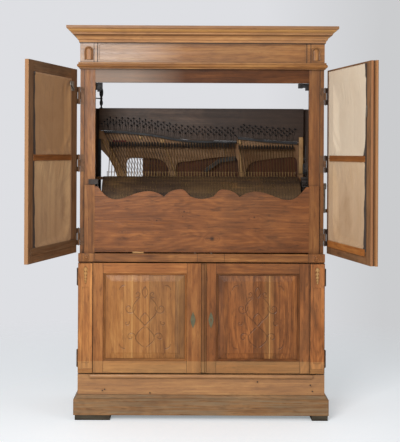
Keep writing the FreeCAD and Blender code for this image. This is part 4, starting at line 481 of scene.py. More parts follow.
    def finish(self, colour: Value, rough: Value, bump: Socket, depth: float, strength: float,
               normal: Socket | None = None, **extra: float) -> bpy.types.Material:
        """Close the material with its shader.

        Args:
            colour: The base colour.
            rough: The roughness.
            bump: Height of the small relief, from 0 to 1.
            depth: That relief's depth in metres.
            strength: How much of the relief shows.
            normal: The normal that the relief starts from.
            **extra: Other fixed inputs of the shader, with spaces as low lines.

        Returns:
            The material.
        """
        values: dict[str | int, Value] = {"Base Color": colour, "Roughness": rough}
        values.update({name.replace("_", " "): value for name, value in extra.items()})
        relief = self.put("Bump", {"Height": bump, "Distance": depth, "Strength": strength})
        if normal is not None:
            self.feed(relief.inputs["Normal"], normal)
        shader = self.put("BsdfPrincipled", {**values, "Normal": relief.outputs[0]})
        self.put("OutputMaterial", {"Surface": shader.outputs[0]})
        return self.owner


class Grain(Enum):
    """Which way the fibres of a piece run."""

    LEVEL = "level"
    UPRIGHT = "upright"
    FRAMED = "framed"
    MITRED = "mitred"


@dataclass(frozen=True)
class Zone:
    """A stretch of a piece that has another colour.

    Attributes:
        axis: The axis that it is measured along.
        strength: How far that colour takes over.
        soft: Half the width of its fading edge.
        patchy: Whether it shows in patches alone.
    """

    axis: str
    start: float
    end: float
    colour: Colour
    strength: float = 0.8
    soft: float = 0.0004
    patchy: bool = False


@dataclass(frozen=True)
class Boards:
    """What each point of a wooden piece knows of its board.

    Attributes:
        space: Its place in the board, with the run of the fibres last.
        place: Its place in the piece as it lies closed.
        number: The board's number.
        lines: 1 on a joint line.
        shade: How light the board is.
    """

    space: Socket
    place: Socket
    number: Value
    lines: Value
    shade: Value


@dataclass(frozen=True)
class Layout:
    """How the boards of a wooden piece lie.

    Attributes:
        uprights: Spans along X of the upright boards of a frame.
        shades: How light each of those uprights is.
        shade: How light every other board is.
        mitre: X plus Y past which a mitred run turns to the back.
        boards: Width of the boards side by side, or 0 where there is one.
        joints: X of upright joint lines.
        levels: Z of level joint lines.
        line: Half the width of all those lines.
        tracks: Distance along X between the tracks round a drum, or 0.
        pin: X and Y of the hinge that the piece turns about, or nothing.
        turn: Degrees from the place at rest back to the closed place.
        seed: Shift that keeps two pieces from the same figure.
        knots: X, Z and radius of knots.
    """

    grain: Grain = Grain.LEVEL
    uprights: tuple[Span, ...] = ()
    shades: tuple[float, ...] = ()
    shade: float = 1.0
    mitre: float = 0.0
    boards: float = 0.0
    joints: tuple[float, ...] = ()
    levels: tuple[float, ...] = ()
    line: float = 0.0012
    tracks: float = 0.0
    zones: tuple[Zone, ...] = ()
    pin: Span | None = None
    turn: float = 0.0
    seed: float = 0.0
    knots: tuple[Point, ...] = ()


@dataclass(frozen=True)
class WoodFinish:
    """An old varnished or bare wood.

    Attributes:
        flame: Colour that some boards lean to.
        pore: Colour in the pores and worn dirt, and of the painted shade in the corners.
        veil: Colour of the greyish patches.
        spread: How much one board differs from the next.
        wear: How pale the edges are rubbed.
        grime: How dark the corners are, with dirt and painted shade.
        gloss: Roughness where it is smoothest.
        matt: Roughness where it is roughest.
        weather: Greyish, lifted fibre, from 0 to 1.
        varnish: What the varnish lets through of each colour.
        shine: How strongly the varnish mirrors.
    """

    name: str
    light: Colour
    middle: Colour
    dark: Colour
    flame: Colour
    pore: Colour = (0.022, 0.010, 0.005)
    veil: Colour = (0.17, 0.105, 0.068)
    figure: float = 0.45
    streaks: float = 0.75
    stains: float = 0.35
    spread: float = 0.16
    wear: float = 0.35
    grime: float = 0.55
    gloss: float = 0.34
    matt: float = 0.55
    weather: float = 0.0
    varnish: Colour = (0.79, 0.73, 0.52)
    shine: float = 0.25

    def boards(self, graph: Graph, layout: Layout) -> Boards:
        """Lay out the boards.

        Args:
            graph: The material in the making.
            layout: How the boards lie.

        Returns:
            The sockets that every board's look starts from.
        """
        place = graph.place()
        if layout.pin is not None:
            angle = math.radians(layout.turn)
            x, y = layout.pin
            shift = (x - x * math.cos(angle) + y * math.sin(angle),
                     y - x * math.sin(angle) - y * math.cos(angle), 0.0)
            place = graph.put("Mapping", {"Vector": place, "Location": shift,
                                          "Rotation": (0.0, 0.0, angle)}).outputs[0]
        x, y, z = graph.parts(place)
        number: Value = layout.seed
        shade: Value = layout.shade
        across = x
        if layout.grain is Grain.UPRIGHT:
            space = graph.joined(x, y, z)
        elif layout.grain is Grain.MITRED:
            depth = graph.plus(graph.calc("ABSOLUTE", x), y)
            aside = graph.calc("GREATER_THAN", depth, layout.mitre)
            space = graph.either(aside, graph.joined(z, y, x), graph.joined(z, x, y))
            number = graph.times(graph.times(aside, graph.calc("SIGN", x)), 2.3, number)
        elif layout.grain is Grain.FRAMED:
            upright: Value = 0.0
            for index, (start, end) in enumerate(layout.uprights):
                inside = graph.within(x, start, end)
                upright = graph.plus(inside, upright)
                number = graph.times(inside, index + 1.37, number)
                if layout.shades:
                    shade = graph.times(inside, layout.shades[index] - layout.shade, shade)
            rail = graph.calc("FLOOR", graph.times(z, 3.1))
            apart = graph.times(graph.calc("SUBTRACT", 1.0, upright), rail)
            number = graph.times(apart, 1.91, number)
            space = graph.either(upright, graph.joined(z, y, x), graph.joined(x, y, z))
        else:
            space = graph.joined(z, y, x)
            across = z
        lines: Value = 0.0
        marks = [(spot, x) for spot in layout.joints] + [(spot, z) for spot in layout.levels]
        for spot, axis in marks:
            lines = graph.plus(graph.calc("COMPARE", axis, spot, layout.line), lines)
        if layout.tracks > 0:
            share = graph.calc("FRACT", graph.calc("DIVIDE", x, layout.tracks))
            lines = graph.times(graph.calc("LESS_THAN", share, 0.3), 0.4, lines)
        if layout.boards > 0:
            row = graph.calc("DIVIDE", across, layout.boards)
            number = graph.times(graph.calc("FLOOR", row), 1.73, number)
            gap = graph.calc("LESS_THAN", graph.calc("FRACT", row), BOARD_GAP / layout.boards)
            lines = graph.plus(lines, gap)
        shift = graph.vector("MULTIPLY", graph.joined(number, number, number), (3.1, 1.7, 5.3))
        return Boards(graph.vector("ADD", space, shift), place, number, lines, shade)

    def figured(self, graph: Graph, boards: Boards, knots: tuple[Point, ...]) -> Socket:
        """Work out the figure: rings cut by the saw, long streaks, and fibres.

        The rings are the sine of a stretched noise, swollen round each knot. Streaks and fibres
        are noises stretched ever more along the run.

        Args:
            graph: The material in the making.
            boards: The boards of the piece.
            knots: X, Z and radius of its knots.

        Returns:
            How dark or light the wood is, from 0 to 1.
        """
        space = boards.space
        rings = graph.noise(space, (3.4, 3.4, 0.75), 2.0, 0.45, 0.5)
        x, _, z = graph.parts(boards.place)
        for knot_x, knot_z, size in knots:
            aside = graph.calc("SUBTRACT", x, knot_x)
            above = graph.times(graph.calc("SUBTRACT", z, knot_z), 2.1)
            gap = graph.times(aside, aside, graph.times(above, above))
            swell = graph.calc("DIVIDE", size * size * 0.35, graph.plus(gap, size * size))
            rings = graph.plus(rings, swell)
        value = graph.times(graph.calc("SINE", graph.times(rings, 150.0)), 0.16 * self.figure)
        for scale, detail, amount in (((52.0, 52.0, 1.6), 3.0, 2.0 * self.streaks),
                                      ((150.0, 150.0, 6.0), 2.0, 1.2 * self.streaks),
                                      ((3.3, 3.3, 1.4), 3.0, 1.1), ((21.0, 21.0, 7.0), 3.0, 0.9),
                                      ((420.0, 420.0, 9.0), 2.0, 0.5)):
            part = graph.noise(space, scale, detail, 0.6, 0.3)
            value = graph.plus(value, graph.times(part, amount, -amount / 2))
        return graph.scaled(value, -0.68, 0.68)

    def make(self, layout: Layout = Layout(), carved: bool = False) -> bpy.types.Material:
        """Make the wood.

        Args:
            layout: How the boards lie.
            carved: Whether the painted value darkens cut lines, and with them painted shade in
                carved hollows.

        Returns:
            The material.
        """
        graph = Graph.of_material(f"{self.name}_{layout.grain.value}_{abs(layout.seed):g}")
        boards = self.boards(graph, layout)
        space, lines = boards.space, boards.lines
        value = self.figured(graph, boards, layout.knots)
        colour = graph.over(self.dark, self.middle, value, 0.0, 0.5)
        colour = graph.over(colour, self.light, value, 0.5, 1.0)
        sort = graph.put("TexWhiteNoise", {"W": boards.number}, noise_dimensions="1D").outputs[0]
        colour = graph.over(colour, self.flame, sort, 0.35, 1.0, 0.30)
        shade = graph.scaled(sort, 0.0, 1.0, 1.0 - self.spread, 1.0 + self.spread * 0.6)
        colour = graph.dimmed(colour, graph.times(shade, boards.shade))
        stain = graph.noise(space, (6.0, 6.0, 2.4), 5.0, 0.68)
        colour = graph.over(colour, self.dark, stain, 0.50, 0.74, self.stains)
        pores = graph.scaled(graph.noise(space, (620.0, 620.0, 21.0), 1.0, 0.5), 0.60, 0.72)
        colour = graph.over(colour, self.pore, pores, 0.0, 1.0, 0.35)
        fleck = graph.noise(space, (75.0, 75.0, 14.0), 3.0, 0.62, 0.3)
        colour = graph.over(colour, self.dark, fleck, 0.56, 0.70, 0.25 + 0.8 * self.stains)
        veil = graph.noise(space, (2.1, 2.1, 1.2), 3.0, 0.5, 0.5)
        colour = graph.over(colour, self.veil, veil, 0.52, 0.75, 0.30)
        x, y, z = graph.parts(boards.place)
        for knot_x, knot_z, size in layout.knots:
            gap = graph.measure("DISTANCE", graph.joined(x, 0.0, z), (knot_x, 0.0, knot_z))
            colour = graph.over(colour, self.pore, gap, size * 0.8, size * 0.15, 0.85)
        for zone in layout.zones:
            along = {"x": x, "y": y, "z": z}[zone.axis]
            rise = graph.scaled(along, zone.start - zone.soft, zone.start + zone.soft)
            fall = graph.scaled(along, zone.end + zone.soft, zone.end - zone.soft)
            inside = graph.times(graph.times(rise, fall), zone.strength)
            if zone.patchy:
                inside = graph.times(inside, graph.scaled(stain, 0.48, 0.60))
            colour = graph.mixed(inside, colour, zone.colour)
        if self.weather > 0:
            lift = graph.noise(space, (90.0, 90.0, 3.0), 4.0, 0.7)
            colour = graph.over(colour, tone(150, 137, 126), lift, 0.42, 0.66, self.weather)
        rounded, sharp = graph.edges(0.0022)
        streak = graph.noise(space, (46.0, 46.0, 1.1), 3.0, 0.6)
        rubbed = graph.times(sharp, graph.scaled(streak, 0.35, 0.65, 0.1, self.wear))
        colour = graph.mixed(rubbed, colour, self.light)
        # Dirt and painted shade in the corners that ambient occlusion finds.
        colour = graph.grimy(colour, self.pore, 0.035, 0.25, self.grime)
        # Dark cut lines, and painted shade where the painted value marks carved hollows.
        if carved:
            colour = graph.mixed(graph.times(graph.painted(), 0.55), colour, self.pore)
        colour = graph.mixed(graph.times(lines, 0.8), colour, self.pore)
        colour = graph.mixed(1.0, colour, self.varnish, "MULTIPLY")
        relief = graph.times(lines, -2.0, graph.times(pores, -0.8, value))
        rough = graph.scaled(graph.plus(streak, veil), 0.7, 1.3, self.gloss, self.matt)
        return graph.finish(colour, rough, relief, 0.0006, 0.35, rounded,
                            Specular_IOR_Level=self.shine)


@dataclass(frozen=True)
class IronFinish:
    """Painted, japanned or bare metal with age on it.

    Attributes:
        base: Colour of the sound surface.
        worn: Colour where it is rubbed.
        rust: Colour in the corners and pits.
        metal: How far the surface is metal.
        rough: Roughness at its smoothest.
        rusting: How much of it has turned.
        grain: Size of the pits, as patches in a metre.
    """

    name: str
    base: Colour
    worn: Colour
    rust: Colour
    metal: float = 0.0
    rough: float = 0.35
    rusting: float = 0.4
    grain: float = 60.0

    def make(self) -> bpy.types.Material:
        """Make the metal: patches, pits, rubbed edges, and dirt and painted shade in the corners.

        Returns:
            The material.
        """
        graph = Graph.of_material(self.name)
        place = graph.place()
        patch = graph.noise(place, self.grain * 0.25, 4.0, 0.65, 0.3)
        pits = graph.noise(place, self.grain * 6.0, 3.0, 0.6)
        colour = graph.over(self.base, self.rust, patch, 0.5, 0.72, self.rusting)
        rounded, sharp = graph.edges(0.0012)
        rubbed = graph.times(sharp, graph.scaled(patch, 0.3, 0.6, 0.2, 0.8))
        colour = graph.mixed(rubbed, colour, self.worn)
        # Dirt and painted shade in the corners.
        colour = graph.grimy(colour, (0.012, 0.009, 0.007), 0.02, 0.3, 0.5)
        rough = graph.scaled(graph.plus(patch, pits), 0.75, 1.25, self.rough,
                             min(0.95, self.rough + 0.35))
        return graph.finish(colour, rough, pits, 0.0004, 0.3, rounded, Metallic=self.metal)


@dataclass(frozen=True)
class ClothFinish:
    """A plain woven cloth, aged and stained.

    Attributes:
        base: Colour of most of it.
        pale: Colour where it is clean.
        stain: Colour of its stains.
        foot: Height below which it is browner, in metres.
        staining: How much of it is stained.
        streaks: How strong the upright marks are.
        threads: Threads in a metre.
    """

    name: str
    base: Colour
    pale: Colour
    stain: Colour
    foot: float = 1.55
    staining: float = 0.5
    streaks: float = 0.3
    threads: float = 900.0

    def make(self) -> bpy.types.Material:
        """Make the cloth: warp over weft in turn, with stains, long marks and a painted shadow.

        Returns:
            The material.
        """
        graph = Graph.of_material(self.name)
        along = graph.put("UVMap", {}, uv_map="weave").outputs[0]
        warp, weft = (graph.calc("SINE", graph.times(part, math.pi * self.threads))
                      for part in graph.parts(along)[:2])
        weave = graph.times(graph.times(warp, weft), 0.5, 0.5)
        slubs = graph.noise(along, (700.0, 30.0, 1.0), 2.0)
        blot = graph.noise(along, (3.1, 2.6, 1.0), 5.0, 0.62, 0.6)
        marks = graph.noise(along, (24.0, 1.3, 1.0), 3.0, 0.6)
        colour = graph.over(self.base, self.pale, blot, 0.35, 0.62)
        colour = graph.over(colour, self.stain, blot, 0.54, 0.74, self.staining)
        colour = graph.over(colour, self.stain, marks, 0.48, 0.72, self.streaks)
        height = graph.parts(graph.place())[2]
        colour = graph.over(colour, self.stain, height, self.foot + 0.02, self.foot - 0.5, 0.5)
        # Painted shadow: the cloth is darkened where its painted value is set, beside a door's free
        # side.
        colour = graph.over(colour, tone(46, 28, 12), graph.painted(), 0.25, 0.7)
        thread = graph.plus(slubs, graph.times(weave, 0.5))
        colour = graph.dimmed(colour, graph.scaled(thread, 0.4, 1.1, 0.86, 1.06))
        # Dirt and painted shade in the corners.
        colour = graph.grimy(colour, tone(70, 45, 28), 0.03, 0.3, 0.5)
        return graph.finish(colour, 0.86, graph.times(slubs, 0.6, weave), 0.0004, 0.4,
                            Sheen_Weight=0.06, Sheen_Roughness=0.5)


OAK = WoodFinish("oak", tone(204, 146, 96), tone(160, 106, 66), tone(100, 60, 36),
                 tone(176, 104, 56))
OAK_PALE = WoodFinish("oak_pale", tone(216, 164, 112), tone(180, 126, 80), tone(120, 76, 46),
                      tone(186, 120, 66), stains=0.25, gloss=0.3, shine=0.3)
OAK_WARM = WoodFinish("oak_warm", tone(176, 116, 72), tone(132, 82, 50), tone(80, 48, 28),
                      tone(152, 90, 48), stains=0.45, gloss=0.28, figure=0.8)
TOP_RAIL = WoodFinish("top_rail", tone(132, 84, 54), tone(102, 62, 40), tone(64, 38, 26),
                      tone(110, 62, 38), gloss=0.4, matt=0.55, spread=0.04, shine=0.12)
OAK_WORN = WoodFinish("oak_worn", tone(186, 146, 112), tone(150, 112, 84), tone(98, 68, 50),
                      tone(158, 106, 72), weather=0.7, stains=0.5, gloss=0.5, matt=0.75)
OAK_SHADED = WoodFinish("oak_shaded", tone(158, 116, 88), tone(120, 86, 66), tone(76, 50, 36),
                        tone(124, 80, 54), weather=0.25, stains=0.5, spread=0.08, gloss=0.45,
                        matt=0.7)
OAK_BATTEN = WoodFinish("oak_batten", tone(190, 128, 80), tone(150, 94, 56), tone(96, 58, 36),
                        tone(166, 98, 54), spread=0.05)
WAXED_OAK = WoodFinish("waxed_oak", tone(214, 152, 96), tone(182, 116, 68), tone(118, 70, 40),
                       tone(190, 112, 60), spread=0.05)
DARK_WALNUT = WoodFinish("dark_walnut", tone(104, 82, 76), tone(74, 56, 50), tone(42, 30, 26),
                         tone(86, 54, 42), spread=0.06, stains=0.3, gloss=0.42, wear=0.2)
SPRUCE = WoodFinish("old_spruce", tone(124, 74, 48), tone(92, 52, 34), tone(52, 30, 20),
                    tone(110, 56, 32), figure=0.15, streaks=0.6, spread=0.12, gloss=0.5, matt=0.7)
BARREL_WOOD = WoodFinish("barrel_wood", tone(120, 94, 74), tone(78, 60, 50), tone(44, 33, 28),
                         tone(92, 64, 46), veil=tone(150, 118, 76), spread=0.10, wear=0.1,
                         figure=0.15, gloss=0.5, matt=0.7)
BEECH = WoodFinish("beech", tone(150, 112, 78), tone(118, 82, 54), tone(78, 50, 34),
                   tone(124, 78, 46), figure=0.1)
EBONISED = WoodFinish("ebonised", tone(92, 92, 98), tone(58, 58, 64), tone(32, 32, 36),
                      tone(60, 56, 60), figure=0.1, spread=0.03)
HAMMER_WOOD = WoodFinish("hammer_wood", tone(48, 38, 32), tone(26, 20, 18), tone(14, 11, 10),
                         tone(30, 22, 18), figure=0.1, spread=0.05, gloss=0.6, matt=0.8,
                         veil=tone(34, 28, 26), shine=0.15)
DEAL = WoodFinish("deal", tone(176, 140, 98), tone(142, 108, 74), tone(100, 70, 46),
                  tone(150, 104, 62), figure=0.5, gloss=0.5, matt=0.75)
FOOT_WOOD = WoodFinish("foot_wood", tone(100, 98, 96), tone(58, 56, 54), tone(36, 32, 30),
                       tone(80, 70, 60), gloss=0.6, matt=0.8, wear=0.7)
BRONZED_IRON = IronFinish("bronzed_iron", tone(130, 94, 56), tone(186, 150, 96), tone(104, 62, 36),
                          metal=0.15, rough=0.45, rusting=0.5, grain=34.0)
DULL_BRONZE = IronFinish("dull_bronze", tone(158, 122, 76), tone(220, 188, 132), tone(112, 72, 42),
                         metal=0.2, rough=0.45, rusting=0.6, grain=60.0)
RED_FELT = IronFinish("red_felt", tone(104, 36, 32), tone(130, 60, 50), tone(62, 26, 22), rough=0.9,
                      rusting=0.6, grain=90.0)
HUSK_OAK = WoodFinish("husk_oak", tone(246, 206, 160), tone(226, 178, 130), tone(176, 124, 80),
                      tone(220, 164, 110), grime=0.35)
JAPANNED_IRON = IronFinish("japanned_iron", tone(22, 20, 20), tone(52, 48, 46), tone(34, 26, 22),
                           rough=0.55, rusting=0.35)
DARK_IRON = IronFinish("dark_iron", tone(52, 46, 42), tone(120, 112, 104), tone(72, 48, 36),
                       metal=0.4, rough=0.42, rusting=0.5)
STEEL = IronFinish("old_steel", tone(132, 124, 112), tone(196, 188, 176), tone(88, 66, 50),
                   metal=0.4, rough=0.35, rusting=0.6, grain=160.0)
BRASS = IronFinish("old_brass", tone(122, 96, 56), tone(196, 164, 96), tone(70, 54, 38), metal=0.7,
                   rough=0.34, rusting=0.8, grain=160.0)
PIN_IRON = IronFinish("pin_iron", tone(8, 6, 6), tone(40, 32, 28), tone(20, 12, 10), rough=0.7,
                      rusting=0.4, grain=90.0)
WIRE = IronFinish("wire", tone(34, 27, 20), tone(96, 78, 54), tone(84, 58, 34), metal=0.4,
                  rough=0.45, rusting=0.9, grain=22.0)
HINGE_BRASS = IronFinish("hinge_brass", tone(104, 68, 36), tone(206, 164, 104), tone(58, 42, 32),
                         metal=0.3, rough=0.42, rusting=0.8, grain=190.0)
HINGE_DARK = IronFinish("hinge_dark", tone(62, 42, 28), tone(126, 98, 70), tone(44, 34, 28),
                        metal=0.3, rough=0.42, rusting=0.8, grain=190.0)
VERDIGRIS = IronFinish("verdigris_brass", tone(98, 92, 66), tone(160, 146, 96), tone(72, 78, 62),
                       metal=0.3, rough=0.45, rusting=0.8, grain=120.0)


def dress(nodes: str, material: bpy.types.Material) -> None:
    """Give nodes of the solids a finish.

    Args:
        nodes: Their names, with spaces between.
        material: The finish.
    """
    for name in nodes.split():
        materials = frame["nodes"][name].data.materials
        if len(materials) == 0:
            materials.append(material)
        for index in range(len(materials)):
            materials[index] = material
        LOG.info("dressed %s", name)


def place_piece(piece: bpy.types.Object, body: str, slot: str, *stands_for: str) -> None:
    """Hang a new piece on a body.

    Args:
        piece: The piece, in place.
        body: The body that it moves with.
        slot: The record's slot; not used.
        *stands_for: The nodes that it replaces.
    """
    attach(piece, body)
    if stands_for:
        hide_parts(*stands_for)
    LOG.info("made %s", piece.name)


class Side(Enum):
    """Which of two mirrored doors."""

    LEFT = -1
    RIGHT = 1

    @property
    def word(self) -> str:
        """Return the side's name."""
        return self.name.lower()


# The case


@dataclass
class Case:
    """The oak case: plinth, sides, posts, rails, frieze and cornice, with its small fittings."""

    rosette_place: tuple[float, float, float] = (0.6785, -0.3262, 0.951)
    rosette_radius: float = 0.0185
    husk_x: float = 0.681
    husk_top: float = 0.898
    husk_face: float = -0.3362
    arch_x: float = 0.670
    arch_half: float = 0.0265
    arch_low: float = 2.1165
    arch_spring: float = 2.168

    def dress(self) -> None:
        """Give each node of the case its wood."""
        faded = Zone("x", -0.9, 0.9, tone(232, 200, 186), 0.16)
        # Painted sheen: a pale, bluish veil over the left of the frieze and top rail, where the
        # varnish would mirror the lamp.
        painted_sheen = Zone("x", -0.9, -0.26, tone(226, 216, 230), 0.32, 0.16)
        browner = Zone("x", 0.60, 0.75, tone(112, 68, 40), 0.35)
        # The cornice's bands: a painted shadow line under a member, greyish dust on the top fillet
        # and a painted highlight on a fillet below it.
        cornice = (faded, Zone("z", 2.255, 2.264, tone(70, 40, 22), 0.55, 0.002),
                   Zone("z", 2.295, 2.32, tone(112, 78, 60), 0.45, 0.003),
                   Zone("z", 2.277, 2.290, tone(226, 176, 104), 0.35, 0.002))
        knots = ((-0.104, 1.222, 0.010), (-0.112, 1.193, 0.006), (0.062, 1.062, 0.024),
                 (-0.266, 1.168, 0.008), (0.31, 1.19, 0.009), (-0.47, 1.10, 0.007))
        woods = (
            ("plinth", OAK_WORN, Layout(Grain.MITRED, mitre=0.402, seed=0.4)),
            ("feet", FOOT_WOOD, Layout(seed=0.9)),
            ("base_rail", OAK_PALE, Layout(shade=0.9, zones=(faded,), seed=1.2)),
            ("floor_board lower_back_panel", DEAL, Layout(boards=0.19, seed=2.2)),
            ("middle_shelf", OAK, Layout(seed=2.9)),
            ("lower_sides", OAK, Layout(Grain.UPRIGHT, seed=3.3)),
            ("upper_sides", OAK, Layout(Grain.UPRIGHT, seed=4.1)),
            ("corner_posts board_stiles", OAK,
             Layout(Grain.UPRIGHT, joints=(-0.6985, 0.6985, -0.695, 0.695), zones=(browner,),
                    seed=4.7)),
            ("waist_rail", OAK,
             Layout(Grain.FRAMED, uprights=((-0.73, -0.628), (0.628, 0.73)),
                    joints=(-0.628, 0.628, -0.025, 0.134), seed=5.2)),
            ("upper_rail", TOP_RAIL, Layout(zones=(painted_sheen,), seed=5.9)),
            ("roof_board", DEAL, Layout(boards=0.21, seed=6.1)),
            ("frieze_board", OAK_PALE,
             Layout(joints=(-0.6395, -0.619, 0.6155, 0.6395), levels=(2.101, 2.2135), line=0.0026,
                    zones=(painted_sheen,), shade=0.80, seed=6.6)),
            ("astragal_moulding", OAK_PALE,
             Layout(Grain.MITRED, mitre=0.42, shade=0.92, seed=7.2)),
            ("cornice", OAK_PALE, Layout(Grain.MITRED, mitre=0.415, levels=(2.2165,), line=0.003,
                                         shade=1.14, zones=cornice, seed=7.9)),
            ("scalloped_board", OAK_WARM, Layout(levels=(1.3105,), knots=knots, seed=8.4)))
        for nodes, wood, layout in woods:
            dress(nodes, wood.make(layout))
        dress("case_hinge_leaves", HINGE_BRASS.make())
        dress("handle_plates", DARK_IRON.make())
        dress("handle_bail_left handle_bail_right", DARK_IRON.make())

    def rosette(self, side: Side) -> None:
        """Carve a rosette at one end of the waist rail.

        The relief is a raised eye, then petals that rise by the cosine of four times the angle,
        inside a sunk ring.

        Args:
            side: Which end.
        """
        turn = np.linspace(0.0, FULL_TURN, 65)[:-1][None, :]
        share = np.linspace(0.0, 1.0, 19)[:, None]
        petal = np.cos(2.0 * turn) ** 2
        rise = 0.0032 * np.sin(np.pi * clamped(share * 1.06)) * (0.25 + 0.75 * petal)
        rise += 0.0036 * bell(share, 0.2)
        x = side.value * self.rosette_place[0] + self.rosette_radius * share * np.cos(turn)
        z = self.rosette_place[2] + self.rosette_radius * share * np.sin(turn)
        shell = Shell()
        shell.add_grid(spots(x, self.rosette_place[1] - rise, z), paint=clamped(
            1.6 - 1.5 * petal * np.clip(share * 3.0, 0.0, 1.0)))
        material = OAK_WARM.make(Layout(Grain.UPRIGHT, seed=9.1 + side.value), carved=True)
        shell.place(f"rosette_{side.word}", material, "case", "oak", outward=False)

    def husks(self, side: Side) -> None:
        """Carve a drop of five bell-shaped husks that get smaller towards a pilaster's foot.

        Each husk is a ridge: its half width grows from the top by the square root of the share
        and ends in three lobes, and its height over the face falls off as the square across it.

        Args:
            side: Which pilaster.
        """
        shell = Shell()
        top = self.husk_top
        share = np.linspace(0.0, 1.0, 15)[:, None]
        across = np.linspace(-1.0, 1.0, 17)[None, :]
        ridge = 1.0 - across ** 2
        for index in range(5):
            length, width = 0.027 - 0.0032 * index, 0.0165 - 0.0024 * index
            half = width * (0.22 + 0.78 * np.sqrt(share)) * (1.0 - 0.35 * share ** 6)
            droop = length * (share + 0.16 * share * np.cos(across * math.pi * 1.5))
            rise = 0.0075 * ridge * (0.25 + 0.75 * np.sin(np.pi * share ** 0.8))
            grooves = 0.0012 * share * np.cos(across * math.pi * 3.0)
            points = spots(side.value * self.husk_x + half * across,
                           self.husk_face - rise - grooves * ridge, top - droop)
            # Painted shadow: the paint darkens each husk's sides and top, where it meets the face.
            shell.add_grid(points, closed=False,
                           paint=clamped(across ** 4 * 0.9 + (1.0 - share) ** 4))
            top -= length * 0.93
        material = HUSK_OAK.make(Layout(Grain.UPRIGHT, seed=9.6 + side.value), carved=True)
        shell.place(f"husks_{side.word}", material, f"lower_{side.word}_door", "oak",
                    outward=False)

    def arch(self, side: Side) -> None:
        """Cut a round-headed flute on a frieze block, with a round-headed bar in it.

        The outline is straight up to the spring and a half circle above. The height follows the
        distance from that outline: a rim, a rounded hollow, then the bar.

        Args:
            side: Which block.
        """
        half, low, spring = self.arch_half, self.arch_low, self.arch_spring
        level = low + (spring + half - low) * np.linspace(0.0, 1.0, 45)[:, None]
        above = np.clip((level - spring) / half, 0.0, 0.9999)
        across = half * np.sqrt(1.0 - above ** 2) * np.linspace(-1.0, 1.0, 41)[None, :]
        inset = half - np.where(level > spring, np.hypot(across, level - spring), np.abs(across))
        hollow = bell(inset - 0.0085, 0.0042)
        rise = 0.0042 - 0.0040 * hollow - 0.0042 * clamped(1.0 - inset / 0.0015)
        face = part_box("frieze_board")[0].y - 0.0001
        shell = Shell()
        # Painted shade: the paint darkens the flute's hollow.
        shell.add_grid(spots(side.value * self.arch_x + across, face - rise, level), closed=False,
                       paint=clamped(hollow * 1.1))
        material = OAK_PALE.make(Layout(Grain.UPRIGHT, seed=10.4 + side.value), carved=True)
        shell.place(f"frieze_flute_{side.word}", material, "case", "oak", outward=False)

    def pilaster_foot(self, side: Side) -> None:
        """Set a small block on the foot of a pilaster.

        Args:
            side: Which pilaster.
        """
        shell = Shell()
        left, right = sorted((side.value * 0.6395, side.value * 0.7225))
        shell.block((left, -0.3385, 0.2745), (right, -0.3345, 0.3005), 0.0016)
        material = OAK_PALE.make(Layout(seed=22.0 + side.value))
        shell.place(f"pilaster_foot_{side.word}", material, f"lower_{side.word}_door", "oak",
                    smooth=False)

    def irons(self) -> None:
        """Make the angle irons under the top rail and the turned stay beside the harp."""
        face, stay_depth, foot = -0.2575, 0.166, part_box("pinblock")[1].z
        shell = Shell()
        for left, low, right, high in (
                (-0.633, 1.9400, -0.592, 1.9835), (-0.624, 1.9300, -0.604, 1.9450),
                (0.598, 1.9580, 0.633, 1.9835), (0.612, 1.9420, 0.633, 1.9600)):
            shell.block((left, face, low), (right, face + 0.004, high), 0.0012)
        shell.block((0.572, face - 0.006, 1.9560), (0.599, face + 0.022, 1.9835), 0.002)
        head = [(0.0, -0.001), (0.0042, -0.001), (0.0038, 0.0018), (0.0, 0.0026)]
        for place in ((-0.622, face, 1.970), (-0.603, face, 1.952), (0.621, face, 1.972),
                      (0.586, face - 0.006, 1.970)):
            shell.knob(head, place, FORWARD, 10)
        stay = [(0.0, 0.0), (0.009, 0.0), (0.0085, 0.004), (0.005, 0.006), (0.005, 0.016),
                (0.0085, 0.020), (0.0105, 0.030), (0.0105, 0.040), (0.0075, 0.048),
                (0.0070, 0.054), (0.0095, 0.060), (0.0070, 0.066), (0.0080, 0.074),
                (0.0115, 0.082), (0.0125, 0.092), (0.0125, 0.108), (0.0105, 0.118),
                (0.0090, 0.124), (0.0, 0.126)]
        shell.knob(stay, (-0.6355, stay_depth, foot - 0.0004), UP, 16)
        shell.add_grid(tube(spots(np.linspace(-0.6968, -0.634, 7), stay_depth,
                                  foot + 0.060 + 0.004 * np.linspace(1.0, 0.0, 7)), 0.0036))
        # A tall black bar at the harp's left edge: a dark part, partly standing in for the shade
        # over that strip.
        shell.block((-0.6530, 0.136, 1.0), (-0.6345, 0.146, 1.655), 0.002)
        shell.block((0.6350, 0.060, 1.440), (0.6965, 0.078, 1.505), 0.003)
        boss = [(0.0, -0.002), (0.012, -0.002), (0.0115, 0.008), (0.006, 0.012), (0.0, 0.012)]
        for level in (1.456, 1.490):
            shell.knob(boss, (0.652, 0.060, level), FORWARD, 14)
        shell.place("corner_irons", JAPANNED_IRON.make(), "case", "black_iron", "corner_brackets")

